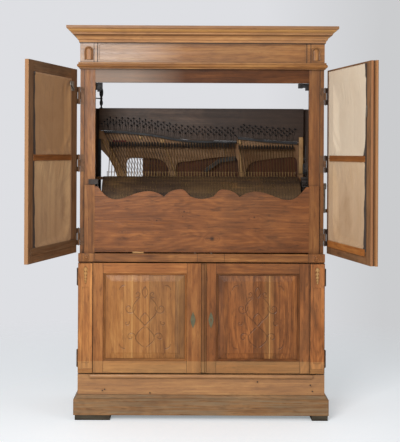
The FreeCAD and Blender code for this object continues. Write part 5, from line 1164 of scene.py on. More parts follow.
    def fixings(self) -> None:
        """Make the small things in the gap over the waist rail, and the base rail's nails."""
        shim, studs, nails = Shell(), Shell(), Shell()
        shim.block((-0.408, -0.3045, 0.9752), (-0.342, -0.3004, 0.9838), 0.0006)
        stud = [(0.0, 0.0), (0.0050, 0.0), (0.0056, 0.002), (0.0038, 0.0048), (0.0, 0.0056)]
        for x in (-0.038, 0.057):
            studs.knob(stud, (x, -0.3000, 0.9751), UP, 12)
        nail = [(0.0, -0.001), (0.0042, -0.001), (0.0040, 0.0006), (0.0022, 0.0014), (0.0, 0.0016)]
        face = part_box("base_rail")[0].y
        for x, z in ((-0.579, 0.173), (-0.566, 0.179), (0.641, 0.208), (0.653, 0.172),
                     (-0.30, 0.160), (0.33, 0.226)):
            nails.knob(nail, (x, face, z), FORWARD, 10)
        # The shim: pale wood as it is, made lighter still against the shade in the gap, which is
        # painted light.
        shim_wood = HUSK_OAK.make(Layout(shade=1.15, seed=21.0))
        for name, shell, material in (("gap_shim", shim, shim_wood),
                                      ("gap_studs", studs, STEEL.make()),
                                      ("base_nails", nails, DARK_IRON.make())):
            shell.place(name, material, "case", "steel")

    def build(self) -> None:
        """Dress the case and put on its carving."""
        self.dress()
        for side in Side:
            self.rosette(side)
            self.husks(side)
            self.pilaster_foot(side)
            self.arch(side)
        self.fixings()
        self.irons()


# The doors


@dataclass
class UpperDoor:
    """A tall door with cloth behind its frame, open at rest.

    Attributes:
        edge: Colour of the bare edge at the free side.
        outer: Colour that the outer face leans to.
        bare: Y past which that edge is finished as the outer face.
        rebate: Depth of the painted shadow of a rebate between the two.
        lift: How much lighter the frame is than its wood.
        droop: How much the lower cloth is crumpled at its foot.
        free: X of the opening's free side on the right door, mirrored on the left one.
        slack: How far the cloths hang out beside the free side.
        gaps: Reach and wave of the shadow painted beside the lower and the upper cloth.
        curl: How much further that painted shadow reaches at the upper cloth's foot.
        foot_ends: X of the ends of the foot batten, as middle_ends of the middle one.
    """

    side: Side
    edge: Colour
    outer: Colour = tone(196, 132, 80)
    bare: float = -0.3262
    rebate: float = 0.0
    lift: float = 1.0
    droop: float = 0.0
    free: float = 0.0675
    hinge: float = 0.615
    cloth_free: float = 0.0655
    cloth_hinge: float = 0.629
    cloth_top: float = 1.998
    cloth_foot: float = 1.047
    middle: float = 1.54
    windows: tuple[Span, Span] = ((1.061, 1.524), (1.556, 1.984))
    slack: float = 0.012
    gaps: tuple[Span, Span] = ((0.032, 0.006), (0.034, 0.007))
    curl: float = 0.0
    foot_ends: Span = (0.03, 0.69)
    middle_ends: Span = (0.0635, 0.619)
    inner_face: float = -0.306
    pin: Span = (0.728, -0.297)

    @property
    def pin_place(self) -> Span:
        """Return X and Y of the hinge pins."""
        return self.side.value * self.pin[0], self.pin[1]

    @property
    def open_angle(self) -> float:
        """Return the degrees from closed to the place at rest, from X towards Y."""
        joint = joint_of(f"upper_{self.side.word}_hinge")
        return self.side.value * -min(joint["range_deg"])

    def mirrored(self, start: float, end: float) -> Span:
        """Return a span of the right door as this door has it, low end first."""
        low, high = sorted((self.side.value * start, self.side.value * end))
        return low, high

    def layout(self, seed: float) -> Layout:
        """Lay the frame's boards as they are when the door is closed.

        Args:
            seed: The shift of their figure.

        Returns:
            The layout.
        """
        ups = (self.mirrored(-0.02, self.free), self.mirrored(self.hinge, 0.725))
        step = self.bare - self.rebate
        zones = (Zone("x", -0.004, 0.004, self.edge), Zone("y", -0.4, step, self.outer, 0.6))
        if self.rebate > 0:
            # Painted shadow: a dark band on the free edge where a rebate would lie in shade.
            zones += (Zone("y", step, self.bare, tone(84, 50, 26), 0.85),)
        return Layout(Grain.FRAMED, uprights=ups, shade=1.12 * self.lift,
                      shades=(1.25 * self.lift, 1.05), zones=zones, pin=self.pin_place,
                      joints=(self.side.value * self.free, self.side.value * self.hinge),
                      turn=-self.open_angle, seed=seed)

    def rest(self, points: np.ndarray) -> np.ndarray:
        """Lay out one cloth and let it settle under its weight in the opening.

        The sheet starts with shallow waves and more slack beside the free side. What the
        simulation gives is held between the frame's inner face and a limit that grows with the
        distance from the edges.

        Args:
            points: The cloth's points, flat on the frame's inner face.

        Returns:
            The settled points.
        """
        x, plane, z = points[..., 0], points[..., 1], points[..., 2]
        sill, head = self.windows[int(z.mean() > self.middle)]
        left, right = self.mirrored(self.free, self.hinge)
        edge = np.minimum(np.minimum(x - left, right - x), np.minimum(z - sill, head - z))
        free_edge = np.abs(x) - self.free
        inside = clamped((edge - 0.004) / 0.045)
        slack = bell(free_edge - 0.02, 0.022) * self.slack
        slack = slack * (0.55 + 0.45 * np.sin((z - sill) / (head - sill) * 2.6 + 0.5))
        swell = 0.0025 * np.sin(x * 31.0 + 3.0 * np.sin(z * 5.0)) + 0.003 * np.sin(z * 9.0 + x * 7.0)
        y = plane - inside * (0.004 + swell) - clamped(edge / 0.006) * slack
        hung, held = spots(x, y, z), edge < 0.004
        hung = settle(hung, held)
        crumple = bell(z - sill, 0.10) * np.sin(x * 62.0 + z * 55.0) * self.droop
        room = np.minimum(0.017 * clamped((edge - 0.003) / 0.012),
                          0.003 + 0.06 * np.maximum(free_edge, 0.0))
        depth = np.clip(plane - hung[..., 1] + crumple * inside, 0.0, room)
        return spots(hung[..., 0], plane - np.where(held, 0.0, depth), hung[..., 2])

    def hang(self, low: float, high: float, name: str, finish: ClothFinish) -> bpy.types.Object:
        """Hang one cloth, pinned along its edges, with a painted shadow beside the free side.

        The width of that painted shadow follows two sines of the height.

        Args:
            low: The height of its lower edge.
            high: The height of its upper edge.
            name: The piece's name.
            finish: Its finish.

        Returns:
            The piece.
        """
        rows, columns = int((high - low) / 0.011), int(self.cloth_hinge / 0.011)
        share = np.linspace(0.0, 1.0, columns) ** 1.7
        across = self.cloth_free + (self.cloth_hinge - self.cloth_free) * share
        across = np.append(across, (self.hinge - 0.0035, self.hinge - 0.014, self.hinge + 0.002))
        x, z = np.meshgrid(np.sort(self.side.value * across), np.linspace(low, high, rows))
        index = int((low + high) / 2 > self.middle)
        sill, head = self.windows[index]
        level = (z - sill) / (head - sill)
        base, wave = self.gaps[index]
        reach = base + wave * (np.sin(level * 4.3 + 1.0) + 0.6 * np.sin(level * 17.0))
        reach = reach + self.curl * index * bell(level, 0.1)
        shell = Shell()
        # Painted shadow: the painted value darkens the cloth beside the free side.
        shell.add_grid(self.rest(spots(x, self.inner_face + 0.0012, z)), closed=False,
                       paint=clamped((reach - np.abs(x) + self.free) / 0.0035))
        shell.swing(self.pin_place, self.open_angle)
        piece = shell.build(name, finish.make(), merge=False)
        weave = piece.data.uv_layers.new(name="weave")
        corners = np.zeros(len(piece.data.loops), np.int32)
        piece.data.loops.foreach_get("vertex_index", corners)
        flat = spots(x, z).reshape(-1, 2)
        weave.data.foreach_set("uv", flat[corners].astype(np.float32).ravel())
        wall = piece.modifiers.new("cloth", "SOLIDIFY")
        wall.thickness, wall.offset = 0.0009, 0.0
        return piece

    def cloths(self, finishes: tuple[ClothFinish, ClothFinish]) -> None:
        """Args:
            finishes: Their finishes.
        """
        spans = {"lower": (self.cloth_foot, self.middle - 0.001),
                 "upper": (self.middle + 0.001, self.cloth_top)}
        for finish, (word, (low, high)) in zip(finishes, spans.items()):
            piece = self.hang(low, high, f"cloth_{word}_{self.side.word}", finish)
            place_piece(piece, f"upper_{self.side.word}_door", "door_cloth",
                        f"door_cloth_{self.side.word}")

    def batten(self, word: str, levels: Span, ends: Span, finish: WoodFinish) -> None:
        """Nail a thin batten over the cloth.

        Args:
            word: What it lies over.
            levels: The heights of its lower and upper edge.
            ends: X of its ends, on the right door.
            finish: Its wood.
        """
        (low, high), (left, right) = levels, self.mirrored(*ends)
        shell = Shell()
        shell.block((left, -0.3046, low), (right, -0.3009, high), 0.0011)
        shell.swing(self.pin_place, self.open_angle)
        layout = Layout(pin=self.pin_place, turn=-self.open_angle, seed=3.7 + low)
        shell.place(f"{word}_batten_{self.side.word}", finish.make(layout),
                    f"upper_{self.side.word}_door", "oak_inner", smooth=False)

    def catch(self) -> None:
        """Make the left door's hook on its plate, or the right door's slim keeper plate."""
        shell = Shell()
        if self.side is Side.LEFT:
            shell.block((-0.664, -0.3045, 1.926), (-0.612, -0.3021, 1.984), 0.001)
            turn = np.linspace(-0.6, 3.6, 16)
            hook = spots(-0.6015 + 0.013 * np.cos(turn), -0.2975, 1.964 + 0.016 * np.sin(turn))
            arm = spots(np.linspace(-0.652, -0.612, 9), -0.2975, np.linspace(1.938, 1.957, 9))
            shell.add_grid(tube(hook, 0.0036, up=BACKWARD))
            shell.add_grid(tube(arm, 0.0044, up=BACKWARD))
            heads = ((-0.656, 1.932), (-0.656, 1.977), (-0.620, 1.934))
        else:
            shell.block((0.0565, -0.3046, 1.762), (0.0655, -0.3025, 1.824), 0.0009)
            heads = ((0.061, 1.768), (0.061, 1.818))
        for x, z in heads:
            shell.knob([(0.0, 0.0), (0.0034, 0.0), (0.0026, 0.0012), (0.0, 0.0016)],
                       (x, -0.3021, z), BACKWARD, 10)
        shell.swing(self.pin_place, self.open_angle)
        shell.place(f"catch_{self.side.word}", STEEL.make(), f"upper_{self.side.word}_door",
                    "steel")

    def build(self, frame_wood: WoodFinish, cloths: tuple[ClothFinish, ClothFinish],
              battens: tuple[WoodFinish, WoodFinish], hinge: IronFinish) -> None:
        """Dress the door and hang its cloth.

        Args:
            frame_wood: The wood of the frame.
            cloths: The lower and the upper cloth in it.
            battens: The wood of the batten over the cloth's foot, and of the middle one.
            hinge: The metal of its hinge leaves.
        """
        word = self.side.word
        dress(f"upper_door_{word}", frame_wood.make(self.layout(1.7 + self.side.value)))
        dress(f"hinge_leaves_upper_{word}", hinge.make())
        self.cloths(cloths)
        self.batten("foot", (1.022, 1.060), self.foot_ends, battens[0])
        self.batten("middle", (1.5235, 1.5565), self.middle_ends, battens[1])
        self.catch()


def settle(points: np.ndarray, held: np.ndarray, steps: int = 26) -> np.ndarray:
    """Let a cloth settle between its held edges.

    Args:
        points: The cloth's grid of points.
        held: Which of them stay where they are.
        steps: Steps of the simulation.

    Returns:
        The settled grid.
    """
    shell = Shell()
    shell.add_grid(points, closed=False)
    draft = shell.build("draft", bpy.data.materials.new("draft"), merge=False)
    group = draft.vertex_groups.new(name="held")
    group.add([int(number) for number in np.flatnonzero(held.ravel())], 1.0, "REPLACE")
    cloth = draft.modifiers.new("cloth", "CLOTH")
    cloth.settings.vertex_group_mass = "held"
    for name, value in (("quality", 6), ("mass", 0.22), ("tension_stiffness", 12.0),
                        ("compression_stiffness", 8.0), ("shear_stiffness", 4.0),
                        ("bending_stiffness", 0.25), ("shrink_min", -0.012)):
        setattr(cloth.settings, name, value)
    cloth.collision_settings.use_collision = False
    scene = bpy.context.scene
    pull = tuple(scene.gravity)
    scene.gravity = (0.0, -2.2, -9.6)
    for step in range(1, steps + 1):
        scene.frame_set(step)
    settled = draft.evaluated_get(bpy.context.evaluated_depsgraph_get())
    found = np.zeros(points.size, np.float32)
    settled.data.vertices.foreach_get("co", found)
    scene.gravity = pull
    scene.frame_set(1)
    bpy.data.objects.remove(draft)
    return found.reshape(points.shape).astype(float)


@dataclass
class LowerDoor:
    """A panelled lower door. The panel's field carries a shallow cut scroll ornament.

    Attributes:
        opening: The opening's span along X.
        repair: X of the pale strip where the panel's boards have parted.
    """

    side: Side
    opening: Span
    repair: float
    low: float = 0.344
    high: float = 0.860
    back: float = -0.305
    border: float = -0.313
    front: float = -0.322
    lap: float = 0.008
    bevel: float = 0.044
    steps: tuple[int, int] = (196, 244)

    def ornament(self) -> list[np.ndarray]:
        """Draw the scrolls: stems, paired scrolls and a pointed leaf, mirrored left to right.

        The radius of a scroll grows with the angle from a small eye. Each row of the table has
        its middle, its first angle, its turns with their hand, and its radius.

        Returns:
            Lines with X and Z from the panel's middle.
        """
        share = np.linspace(0.0, 1.0, 24)
        bow = np.sin(share * math.pi)
        corner = spots(0.150 - 0.030 * (1 - np.cos(share * math.pi / 2)),
                       0.160 + 0.026 * np.sin(share * math.pi / 2))
        half = [spots(0.010 + 0.052 * bow * (1 - 0.3 * share), -0.175 + 0.115 * share),
                spots(0.012 + 0.060 * np.sin(share * math.pi * 0.9), -0.035 + 0.150 * share),
                spots(0.016 * bow, 0.112 + 0.066 * share),
                spots(0.026 * bow, -0.050 + 0.075 * share), corner, corner * (1, -1)]
        share = np.linspace(0.0, 1.0, 34)
        for x, z, start, turns, size in (
                (0.083, -0.118, 2.6, 1.15, 0.030), (0.092, 0.050, -2.2, -1.2, 0.034),
                (0.046, 0.135, -0.6, 0.9, 0.021), (0.108, -0.035, 1.4, -0.8, 0.018)):
            angle = start + share * turns * FULL_TURN
            radius = size * (0.12 + 0.88 * share)
            half.append(spots(x + radius * np.cos(angle), z + radius * np.sin(angle)))
        return half + [line * (-1, 1) for line in half]

    def panel(self) -> None:
        """Build the raised panel: a height field with a sloped border, a flat field and cut lines.

        The height over the border rises evenly with the distance from the opening's edge up to
        the bevel's width, and each cut is a hollow that falls off as a bell curve from its line.
        """
        (start, end), (columns, rows) = self.opening, self.steps
        x, z = np.meshgrid(np.linspace(start - self.lap, end + self.lap, columns),
                           np.linspace(self.low - self.lap, self.high + self.lap, rows))
        inset = np.minimum(np.minimum(x - start, end - x),
                           np.minimum(z - self.low, self.high - z))
        slope = clamped((inset - 0.002) / self.bevel)
        step = np.where(slope >= 1.0, 1.0, slope * 0.78)
        height = (self.border - self.front) * np.where(inset <= 0.0, 0.0, step)
        gap = distance_to_lines(x - (start + end) / 2, z - (self.low + self.high) / 2,
                                self.ornament())
        cut = bell(gap, 0.0021)
        height -= 0.0013 * cut - 0.0006 * bell(gap - 0.0045, 0.002)
        front, back = spots(x, self.border - height, z), spots(x, self.back, z)
        shell = Shell()
        shell.add_grid(front, closed=False, paint=cut)
        shell.add_grid(back[::rows - 1, ::columns - 1], closed=False)
        for path in (np.s_[:1], np.s_[-1:], np.s_[:, :1], np.s_[:, -1:]):
            rim = np.stack([front[path].reshape(-1, 3), back[path].reshape(-1, 3)])
            shell.add_grid(rim, closed=False)
        strips = (Zone("x", self.repair - 0.030, self.repair + 0.024, tone(214, 160, 104), 0.16,
                       0.006),
                  Zone("x", self.repair - 0.003, self.repair + 0.003, tone(226, 180, 128), 0.45))
        finish, shade = (OAK_PALE, 0.89) if self.side is Side.LEFT else (OAK_WARM, 1.2)
        material = finish.make(Layout(Grain.UPRIGHT, boards=0.153, zones=strips, shade=shade,
                                      seed=11.0 + self.side.value), carved=True)
        shell.place(f"carved_panel_{self.side.word}", material, f"lower_{self.side.word}_door",
                    "oak", f"lower_panel_{self.side.word}")

    def mould(self, finish: WoodFinish) -> None:
        """Lay the small moulding round the panel: a profile carried round four mitred corners.

        Each point of the profile has an inset from the opening's edge and a depth, and gives
        the four corners of the opening drawn in by that inset.

        Args:
            finish: Its wood.
        """
        profile = np.array([(0.0, -0.312), (0.0, -0.3245), (0.0022, -0.3257), (0.0046, -0.3240),
                            (0.0056, -0.3215), (0.0064, -0.3215), (0.0074, -0.3225),
                            (0.0098, -0.3212), (0.0122, -0.3180), (0.0132, -0.3135),
                            (0.0132, -0.312)])
        inset, depth = profile[:, :1], profile[:, 1:]
        left, right = self.opening[0] + inset, self.opening[1] - inset
        low, high = self.low + inset, self.high - inset
        shell = Shell()
        shell.add_grid(spots(np.hstack([left, right, right, left]), depth,
                             np.hstack([low, low, high, high])), close_rows=True)
        inner = self.opening[0] + 0.0133, self.opening[1] - 0.0133
        layout = Layout(Grain.FRAMED, uprights=((-1.0, inner[0]), (inner[1], 1.0)),
                        seed=19.0 + self.side.value)
        shell.place(f"panel_mould_{self.side.word}", finish.make(layout),
                    f"lower_{self.side.word}_door", "oak", smooth=False)

    def build(self, frame_wood: WoodFinish, uprights: tuple[Span, ...],
              shades: tuple[float, ...]) -> None:
        """Dress the door and put in its panel.

        Args:
            frame_wood: The wood of its frame.
            uprights: Spans of its upright boards.
            shades: How light each upright board is.
        """
        word = self.side.word
        joints = tuple(edge for span in uprights for edge in span if abs(edge) < 0.7)
        # Painted highlight: the foot rail of the frame is lightened as if it reflected more light.
        foot = Zone("z", 0.27, 0.343, tone(218, 178, 136), 0.28)
        layout = Layout(Grain.FRAMED, uprights=uprights, shades=shades, shade=1.06, zones=(foot,),
                        joints=joints, seed=12.0 + self.side.value)
        dress(f"lower_door_{word}", frame_wood.make(layout))
        dress(f"hinge_leaves_lower_{word}", HINGE_DARK.make())
        dress(f"escutcheon_{word}", VERDIGRIS.make())
        self.panel()
        self.mould(frame_wood)


# The works


@dataclass
class Harp:
    """The string frame: pin block, iron plate, soundboard, bridges, strings and bars.

    Attributes:
        plane: Y of the strings.
        foot: Height of the hitch ledge.
        strike: Height at which the hammers strike.
        first_lean: Degrees that the first string leans.
        last_lean: Degrees that the last one leans.
        bass_line: X and Z along the pressure line of the bass and tenor.
        treble_line: X and Z along the treble's pressure line.
        rises: Height of the lowest row of pins over the line, for bass, tenor and treble.
        row_rise: Height of each row over the one below it.
        last_pin: X of the last pins.
    """

    plane: float = 0.150
    foot: float = 1.022
    strike: float = 1.6243
    first_lean: float = 27.0
    last_lean: float = 3.0
    bass_line: tuple[Span, ...] = ((-0.648, 1.701), (-0.383, 1.691), (-0.244, 1.669),
                                   (-0.104, 1.645), (0.086, 1.638), (0.2262, 1.636))
    treble_line: tuple[Span, ...] = ((0.2262, 1.664), (0.410, 1.645), (0.648, 1.630))
    rises: Point = (0.050, 0.050, 0.046)
    row_rise: float = 0.0145
    last_pin: float = 0.632
    pin_face: float = 0.153
    plate_face: float = 0.160
    plate_depth: float = 0.009
    wire_gap: float = 0.0042
    windows: tuple[tuple[Span, ...], ...] = (
        ((-0.452, 1.082), (-0.470, 1.420), (-0.474, 1.536), (-0.256, 1.532), (-0.205, 1.480),
         (-0.172, 1.082)),
        ((-0.140, 1.082), (-0.158, 1.430), (-0.160, 1.511), (-0.060, 1.517), (0.090, 1.542),
         (0.234, 1.550), (0.236, 1.430), (0.250, 1.082)),
        ((0.290, 1.082), (0.272, 1.420), (0.306, 1.512), (0.450, 1.536), (0.612, 1.550),
         (0.612, 1.082)))
    ribs: tuple[tuple[Span, ...], ...] = (
        ((-0.628, 1.652), (-0.525, 1.440), (-0.492, 1.082)),
        ((-0.597, 1.648), (-0.498, 1.440), (-0.468, 1.082)),
        ((-0.247, 1.641), (-0.162, 1.440), (-0.152, 1.082)),
        ((0.242, 1.634), (0.256, 1.440), (0.272, 1.082)),
        ((-0.066, 1.634), (-0.054, 1.590)), ((0.150, 1.628), (0.157, 1.556)))
    bosses: tuple[Span, ...] = ((-0.386, 1.668), (-0.247, 1.645), (0.243, 1.640))

    def level(self, across: np.ndarray) -> np.ndarray:
        """Find the height of the pressure line.

        Args:
            across: Places along X.

        Returns:
            The heights there.
        """
        bass = np.interp(across, *np.array(self.bass_line).T)
        treble = np.interp(across, *np.array(self.treble_line).T)
        return np.where(across > self.treble_line[0][0], treble, bass)

    def tops(self) -> tuple[np.ndarray, np.ndarray, np.ndarray]:
        """Find where each note's strings leave the bar, and their foot.

        A string leans by its note's slope about the place where its hammer strikes, so its top
        lies that slope times the height over the strike to the left.

        Returns:
            X of the tops, Z of the tops and X of the feet.
        """
        place = note_places()
        slope = np.tan(np.radians(np.linspace(self.first_lean, self.last_lean, NOTES)))
        top = place
        for _ in range(4):
            top = place - slope * (self.level(top) - self.strike)
        return top, self.level(top), place + slope * (self.strike - self.foot)

    def pins(self) -> tuple[np.ndarray, np.ndarray]:
        """Find the tuning pins: rows of four that climb to the right by a note.

        Returns:
            Their X and Z.
        """
        number = np.arange(NOTES * 2)
        starts = np.array((0, NOTES_BASS, NOTES_BASS + NOTES_TENOR))
        group = np.digitize(number // 2, starts[1:])
        place = number - 2 * starts[group]
        row = place % 4
        first = starts[group] + place // 4 * 2
        across = np.minimum(self.tops()[0][first] + NOTE_PITCH * (row - 1.0), self.last_pin)
        return across, self.level(across) + np.array(self.rises)[group] + row * self.row_rise

    def plate(self) -> None:
        """Cast the plate's web with its rounded windows.

        Every corner of a window is drawn as a parabola between points on the two edges that
        meet there, at most a few centimetres away. The web is filled between the outline and
        the windows, then given its thickness.
        """
        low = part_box("iron_plate")[0].z
        bass, treble = np.linspace(-0.648, 0.2258, 40), np.linspace(0.2266, 0.648, 22)
        across = np.concatenate([bass, treble])
        top = spots(across, self.level(across) + 0.008)
        rim = [(0.648, low), (-0.648, low), (-0.648, 1.06), (-0.510, 1.072), (-0.516, 1.25),
               (-0.534, 1.42), (-0.556, 1.48), (-0.590, 1.54), (-0.632, 1.585), (-0.648, 1.59)]
        loops = [np.concatenate([top, rim])]
        bend = np.linspace(0.0, 1.0, 7)[:, None]
        for window in self.windows:
            corner = np.array(window)
            ways = np.roll(corner, 1, axis=0) - corner, np.roll(corner, -1, axis=0) - corner
            near = [corner + way * np.minimum(0.45, 0.045 / np.hypot(*way.T))[:, None]
                    for way in ways]
            loops.append(((1 - bend) ** 2 * near[0][:, None] + 2 * bend * (1 - bend)
                          * corner[:, None] + bend ** 2 * near[1][:, None]).reshape(-1, 2))
        mesh = bpy.data.meshes.new("web")
        x, z = np.concatenate(loops).T
        points = spots(x, self.plate_face, z)
        starts = np.cumsum([0] + [len(loop) for loop in loops])
        edges = np.concatenate([spots(np.arange(a, b), np.roll(np.arange(a, b), -1))
                                for a, b in zip(starts[:-1], starts[1:])])
        mesh.from_pydata(points.tolist(), edges.tolist(), [])
        whole = bmesh.new()
        whole.from_mesh(mesh)
        bmesh.ops.triangle_fill(whole, use_beauty=True, edges=whole.edges)
        whole.normal_update()
        if whole.faces[:][0].normal.y > 0:
            bmesh.ops.reverse_faces(whole, faces=whole.faces)
        whole.to_mesh(mesh)
        whole.free()
        mesh.materials.append(BRONZED_IRON.make())
        web = bpy.data.objects.new("plate_web", mesh)
        bpy.context.scene.collection.objects.link(web)
        wall = web.modifiers.new("wall", "SOLIDIFY")
        wall.thickness, wall.offset = self.plate_depth, -1.0
        place_piece(web, "case", "bronzed_iron", "iron_plate")

    def plate_ribs(self) -> None:
        """Raise the ribs, bosses and end bar that stand proud of the plate's web."""
        shell = Shell()
        middle = np.linspace(0.0, 1.0, 12)
        for rib in self.ribs:
            x, z = (np.interp(middle, np.linspace(0.0, 1.0, len(rib)), part)
                    for part in np.array(rib).T)
            shell.add_grid(tube(spots(x, self.plate_face, z), 0.0062, up=BACKWARD))
        dome = [(0.0, -0.002), (0.0165, -0.002), (0.0160, 0.0026), (0.0120, 0.0056),
                (0.0050, 0.0066), (0.0, 0.0066)]
        for x, z in self.bosses:
            shell.knob(dome, (x, self.plate_face, z), FORWARD, 20)
        shell.block((0.6185, self.pin_face - 0.008, 1.440),
                    (0.6465, self.plate_face + 0.001, 1.672), 0.003)
        shell.place("plate_ribs", DULL_BRONZE.make(), "case", "bronzed_iron", "iron_plate")

    def felt(self) -> None:
        """Lay a strip of red felt behind the bass strings, in short pieces."""
        shell = Shell()
        for start in np.arange(-0.560, -0.475, NOTE_PITCH):
            shell.block((start, self.plate_face - 0.0035, 1.634),
                        (start + 0.0135, self.plate_face + 0.0005, 1.648), 0.001)
        shell.place("bass_felt", RED_FELT.make(), "case", "bronzed_iron", "iron_plate")

    def strings(self) -> None:
        """Stretch two wires for each note, the bass ones thicker.

        Each wire runs straight from the hitch to the bar and from there to its pin.
        """
        top, level, foot = self.tops()
        pin_x, pin_z = self.pins()
        shell = Shell()
        for pin in range(NOTES * 2):
            note, wire = divmod(pin, 2)
            offset = (wire - 0.5) * self.wire_gap
            route = np.array([(foot[note] + offset, self.plane, self.foot),
                              (top[note] + offset, self.plane, level[note]),
                              (pin_x[pin] + 0.003, self.plane, pin_z[pin] - 0.002)])
            shell.add_grid(tube(route, 0.00115 if note < NOTES_BASS else 0.0007, 5, BACKWARD))
        shell.place("wire_strings", WIRE.make(), "case", "steel", "strings", merge=False)

    def tuning_pins(self) -> None:
        """Drive in the pins: a round shank with a coil round it and a square head."""
        shell = Shell()
        coil = [(0.0, 0.0), (0.0052, 0.0), (0.0052, 0.002), (0.0042, 0.004), (0.0044, 0.012),
                (0.0030, 0.0135)]
        turn = np.pi / 4 + np.arange(4) * np.pi / 2
        depth = self.pin_face - np.array((0.010, 0.033, 0.034, 0.034))[:, None]
        reach = 0.0042 * np.array((1.0, 1.0, 0.8, 0.0))[:, None]
        for x, z in zip(*self.pins()):
            shell.knob(coil, (x, self.pin_face, z), FORWARD, 8)
            shell.add_grid(spots(x + reach * np.cos(turn), depth, z + reach * np.sin(turn)))
        shell.place("coiled_pins", PIN_IRON.make(), "case", "steel", "tuning_pins", merge=False,
                    smooth=False)

    def build(self) -> None:
        """Dress the string frame and string it."""
        # Darker over the right part of the pin block.
        darker_right = Zone("x", 0.05, 0.7, tone(40, 24, 16), 0.55, 0.05)
        dress("pinblock", DARK_WALNUT.make(Layout(zones=(darker_right,), seed=13.1)))
        dress("pressure_bars", JAPANNED_IRON.make())
        dress("soundboard", SPRUCE.make(Layout(Grain.UPRIGHT, boards=0.11, seed=13.9)))
        dress("bridges", EBONISED.make(Layout(seed=14.3)))
        dress("back_frame", DARK_WALNUT.make(Layout(Grain.UPRIGHT, seed=14.8)))
        for make in (self.plate, self.plate_ribs, self.felt, self.strings, self.tuning_pins):
            make()


@dataclass
class Barrel:
    """The pinned barrel with its shaft, wheel and bearings."""

    rows_of_pins: int = 48
    thickness: float = 0.0016
    seed: int = 20

    def staples(self) -> None:
        """Drive in the barrel's pins: flat brass staples standing across the rows of notes.

        Each staple is an open box on the drum: its ends lie at two angles, its sides at one
        place along the shaft plus and minus half its thickness, and its top a little further
        out than the drum's face.
        """
        random = np.random.default_rng(self.seed)
        lanes = random.integers(-2, 3, (NOTES, self.rows_of_pins)) * 0.0022
        across = (note_places()[:, None] + lanes).ravel()
        turn = random.uniform(0.0, FULL_TURN, across.size)
        half = random.choice((0.0012, 0.0012, 0.003, 0.006, 0.011), across.size) / BARREL_RADIUS
        signs = np.array([(s, t, r) for r in (0, 1) for s in (-1, 1) for t in (-1, 1)])
        angle = turn[:, None] + half[:, None] * signs[:, 1]
        reach = np.array([BARREL_RADIUS - 0.001, BARREL_RADIUS + 0.0026])[signs[:, 2]]
        points = spots(across[:, None] + self.thickness / 2 * signs[:, 0],
                       BARREL_AXIS[0] + reach * np.cos(angle),
                       BARREL_AXIS[1] + reach * np.sin(angle))
        faces = np.array([(0, 1, 5, 4), (2, 6, 7, 3), (0, 4, 6, 2), (1, 3, 7, 5), (4, 5, 7, 6)])
        shell = Shell()
        shell.add(points, (np.arange(across.size)[:, None, None] * 8 + faces).reshape(-1, 4))
        shell.place("barrel_pins", BRASS.make(), "barrel", "brass", merge=False, smooth=False)

    def build(self) -> None:
        """Dress the barrel and pin it."""
        # Painted highlight: lighter golden patches over part of the barrel.
        patch = Zone("x", 0.13, 0.34, tone(168, 122, 76), 0.5, 0.03, patchy=True)
        foot = Zone("x", -0.56, -0.40, tone(150, 118, 84), 0.35, 0.03, patchy=True)
        layout = Layout(tracks=NOTE_PITCH, zones=(patch, foot), seed=15.2)
        dress("barrel_cylinder", BARREL_WOOD.make(layout))
        dress("barrel_arbor", STEEL.make())
        dress("barrel_wheel", DARK_IRON.make())
        dress("barrel_bearings shift_yoke", JAPANNED_IRON.make())
        self.staples()


@dataclass
class Action:
    """The hammers, their rail, and the crank's drive."""

    def build(self) -> None:
        """Dress the hammers and the drive."""
        butt = Zone("z", 1.380, 1.4535, tone(150, 124, 92), 0.85)
        shank = Zone("z", 1.4535, 1.594, tone(98, 70, 42), 0.85)
        hammers = HAMMER_WOOD.make(Layout(Grain.UPRIGHT, zones=(butt, shank), seed=16.1))
        dress("hammers_bass hammers_tenor hammers_treble", hammers)
        dress("hammer_rail", BEECH.make(Layout(seed=16.9)))
        dress("intermediate_gear gear_bracket stop_rod shift_lever", DARK_IRON.make())
        dress("crank_shaft crank_arm", STEEL.make())
        dress("crank_grip", BEECH.make(Layout(seed=17.3)))


# The studio


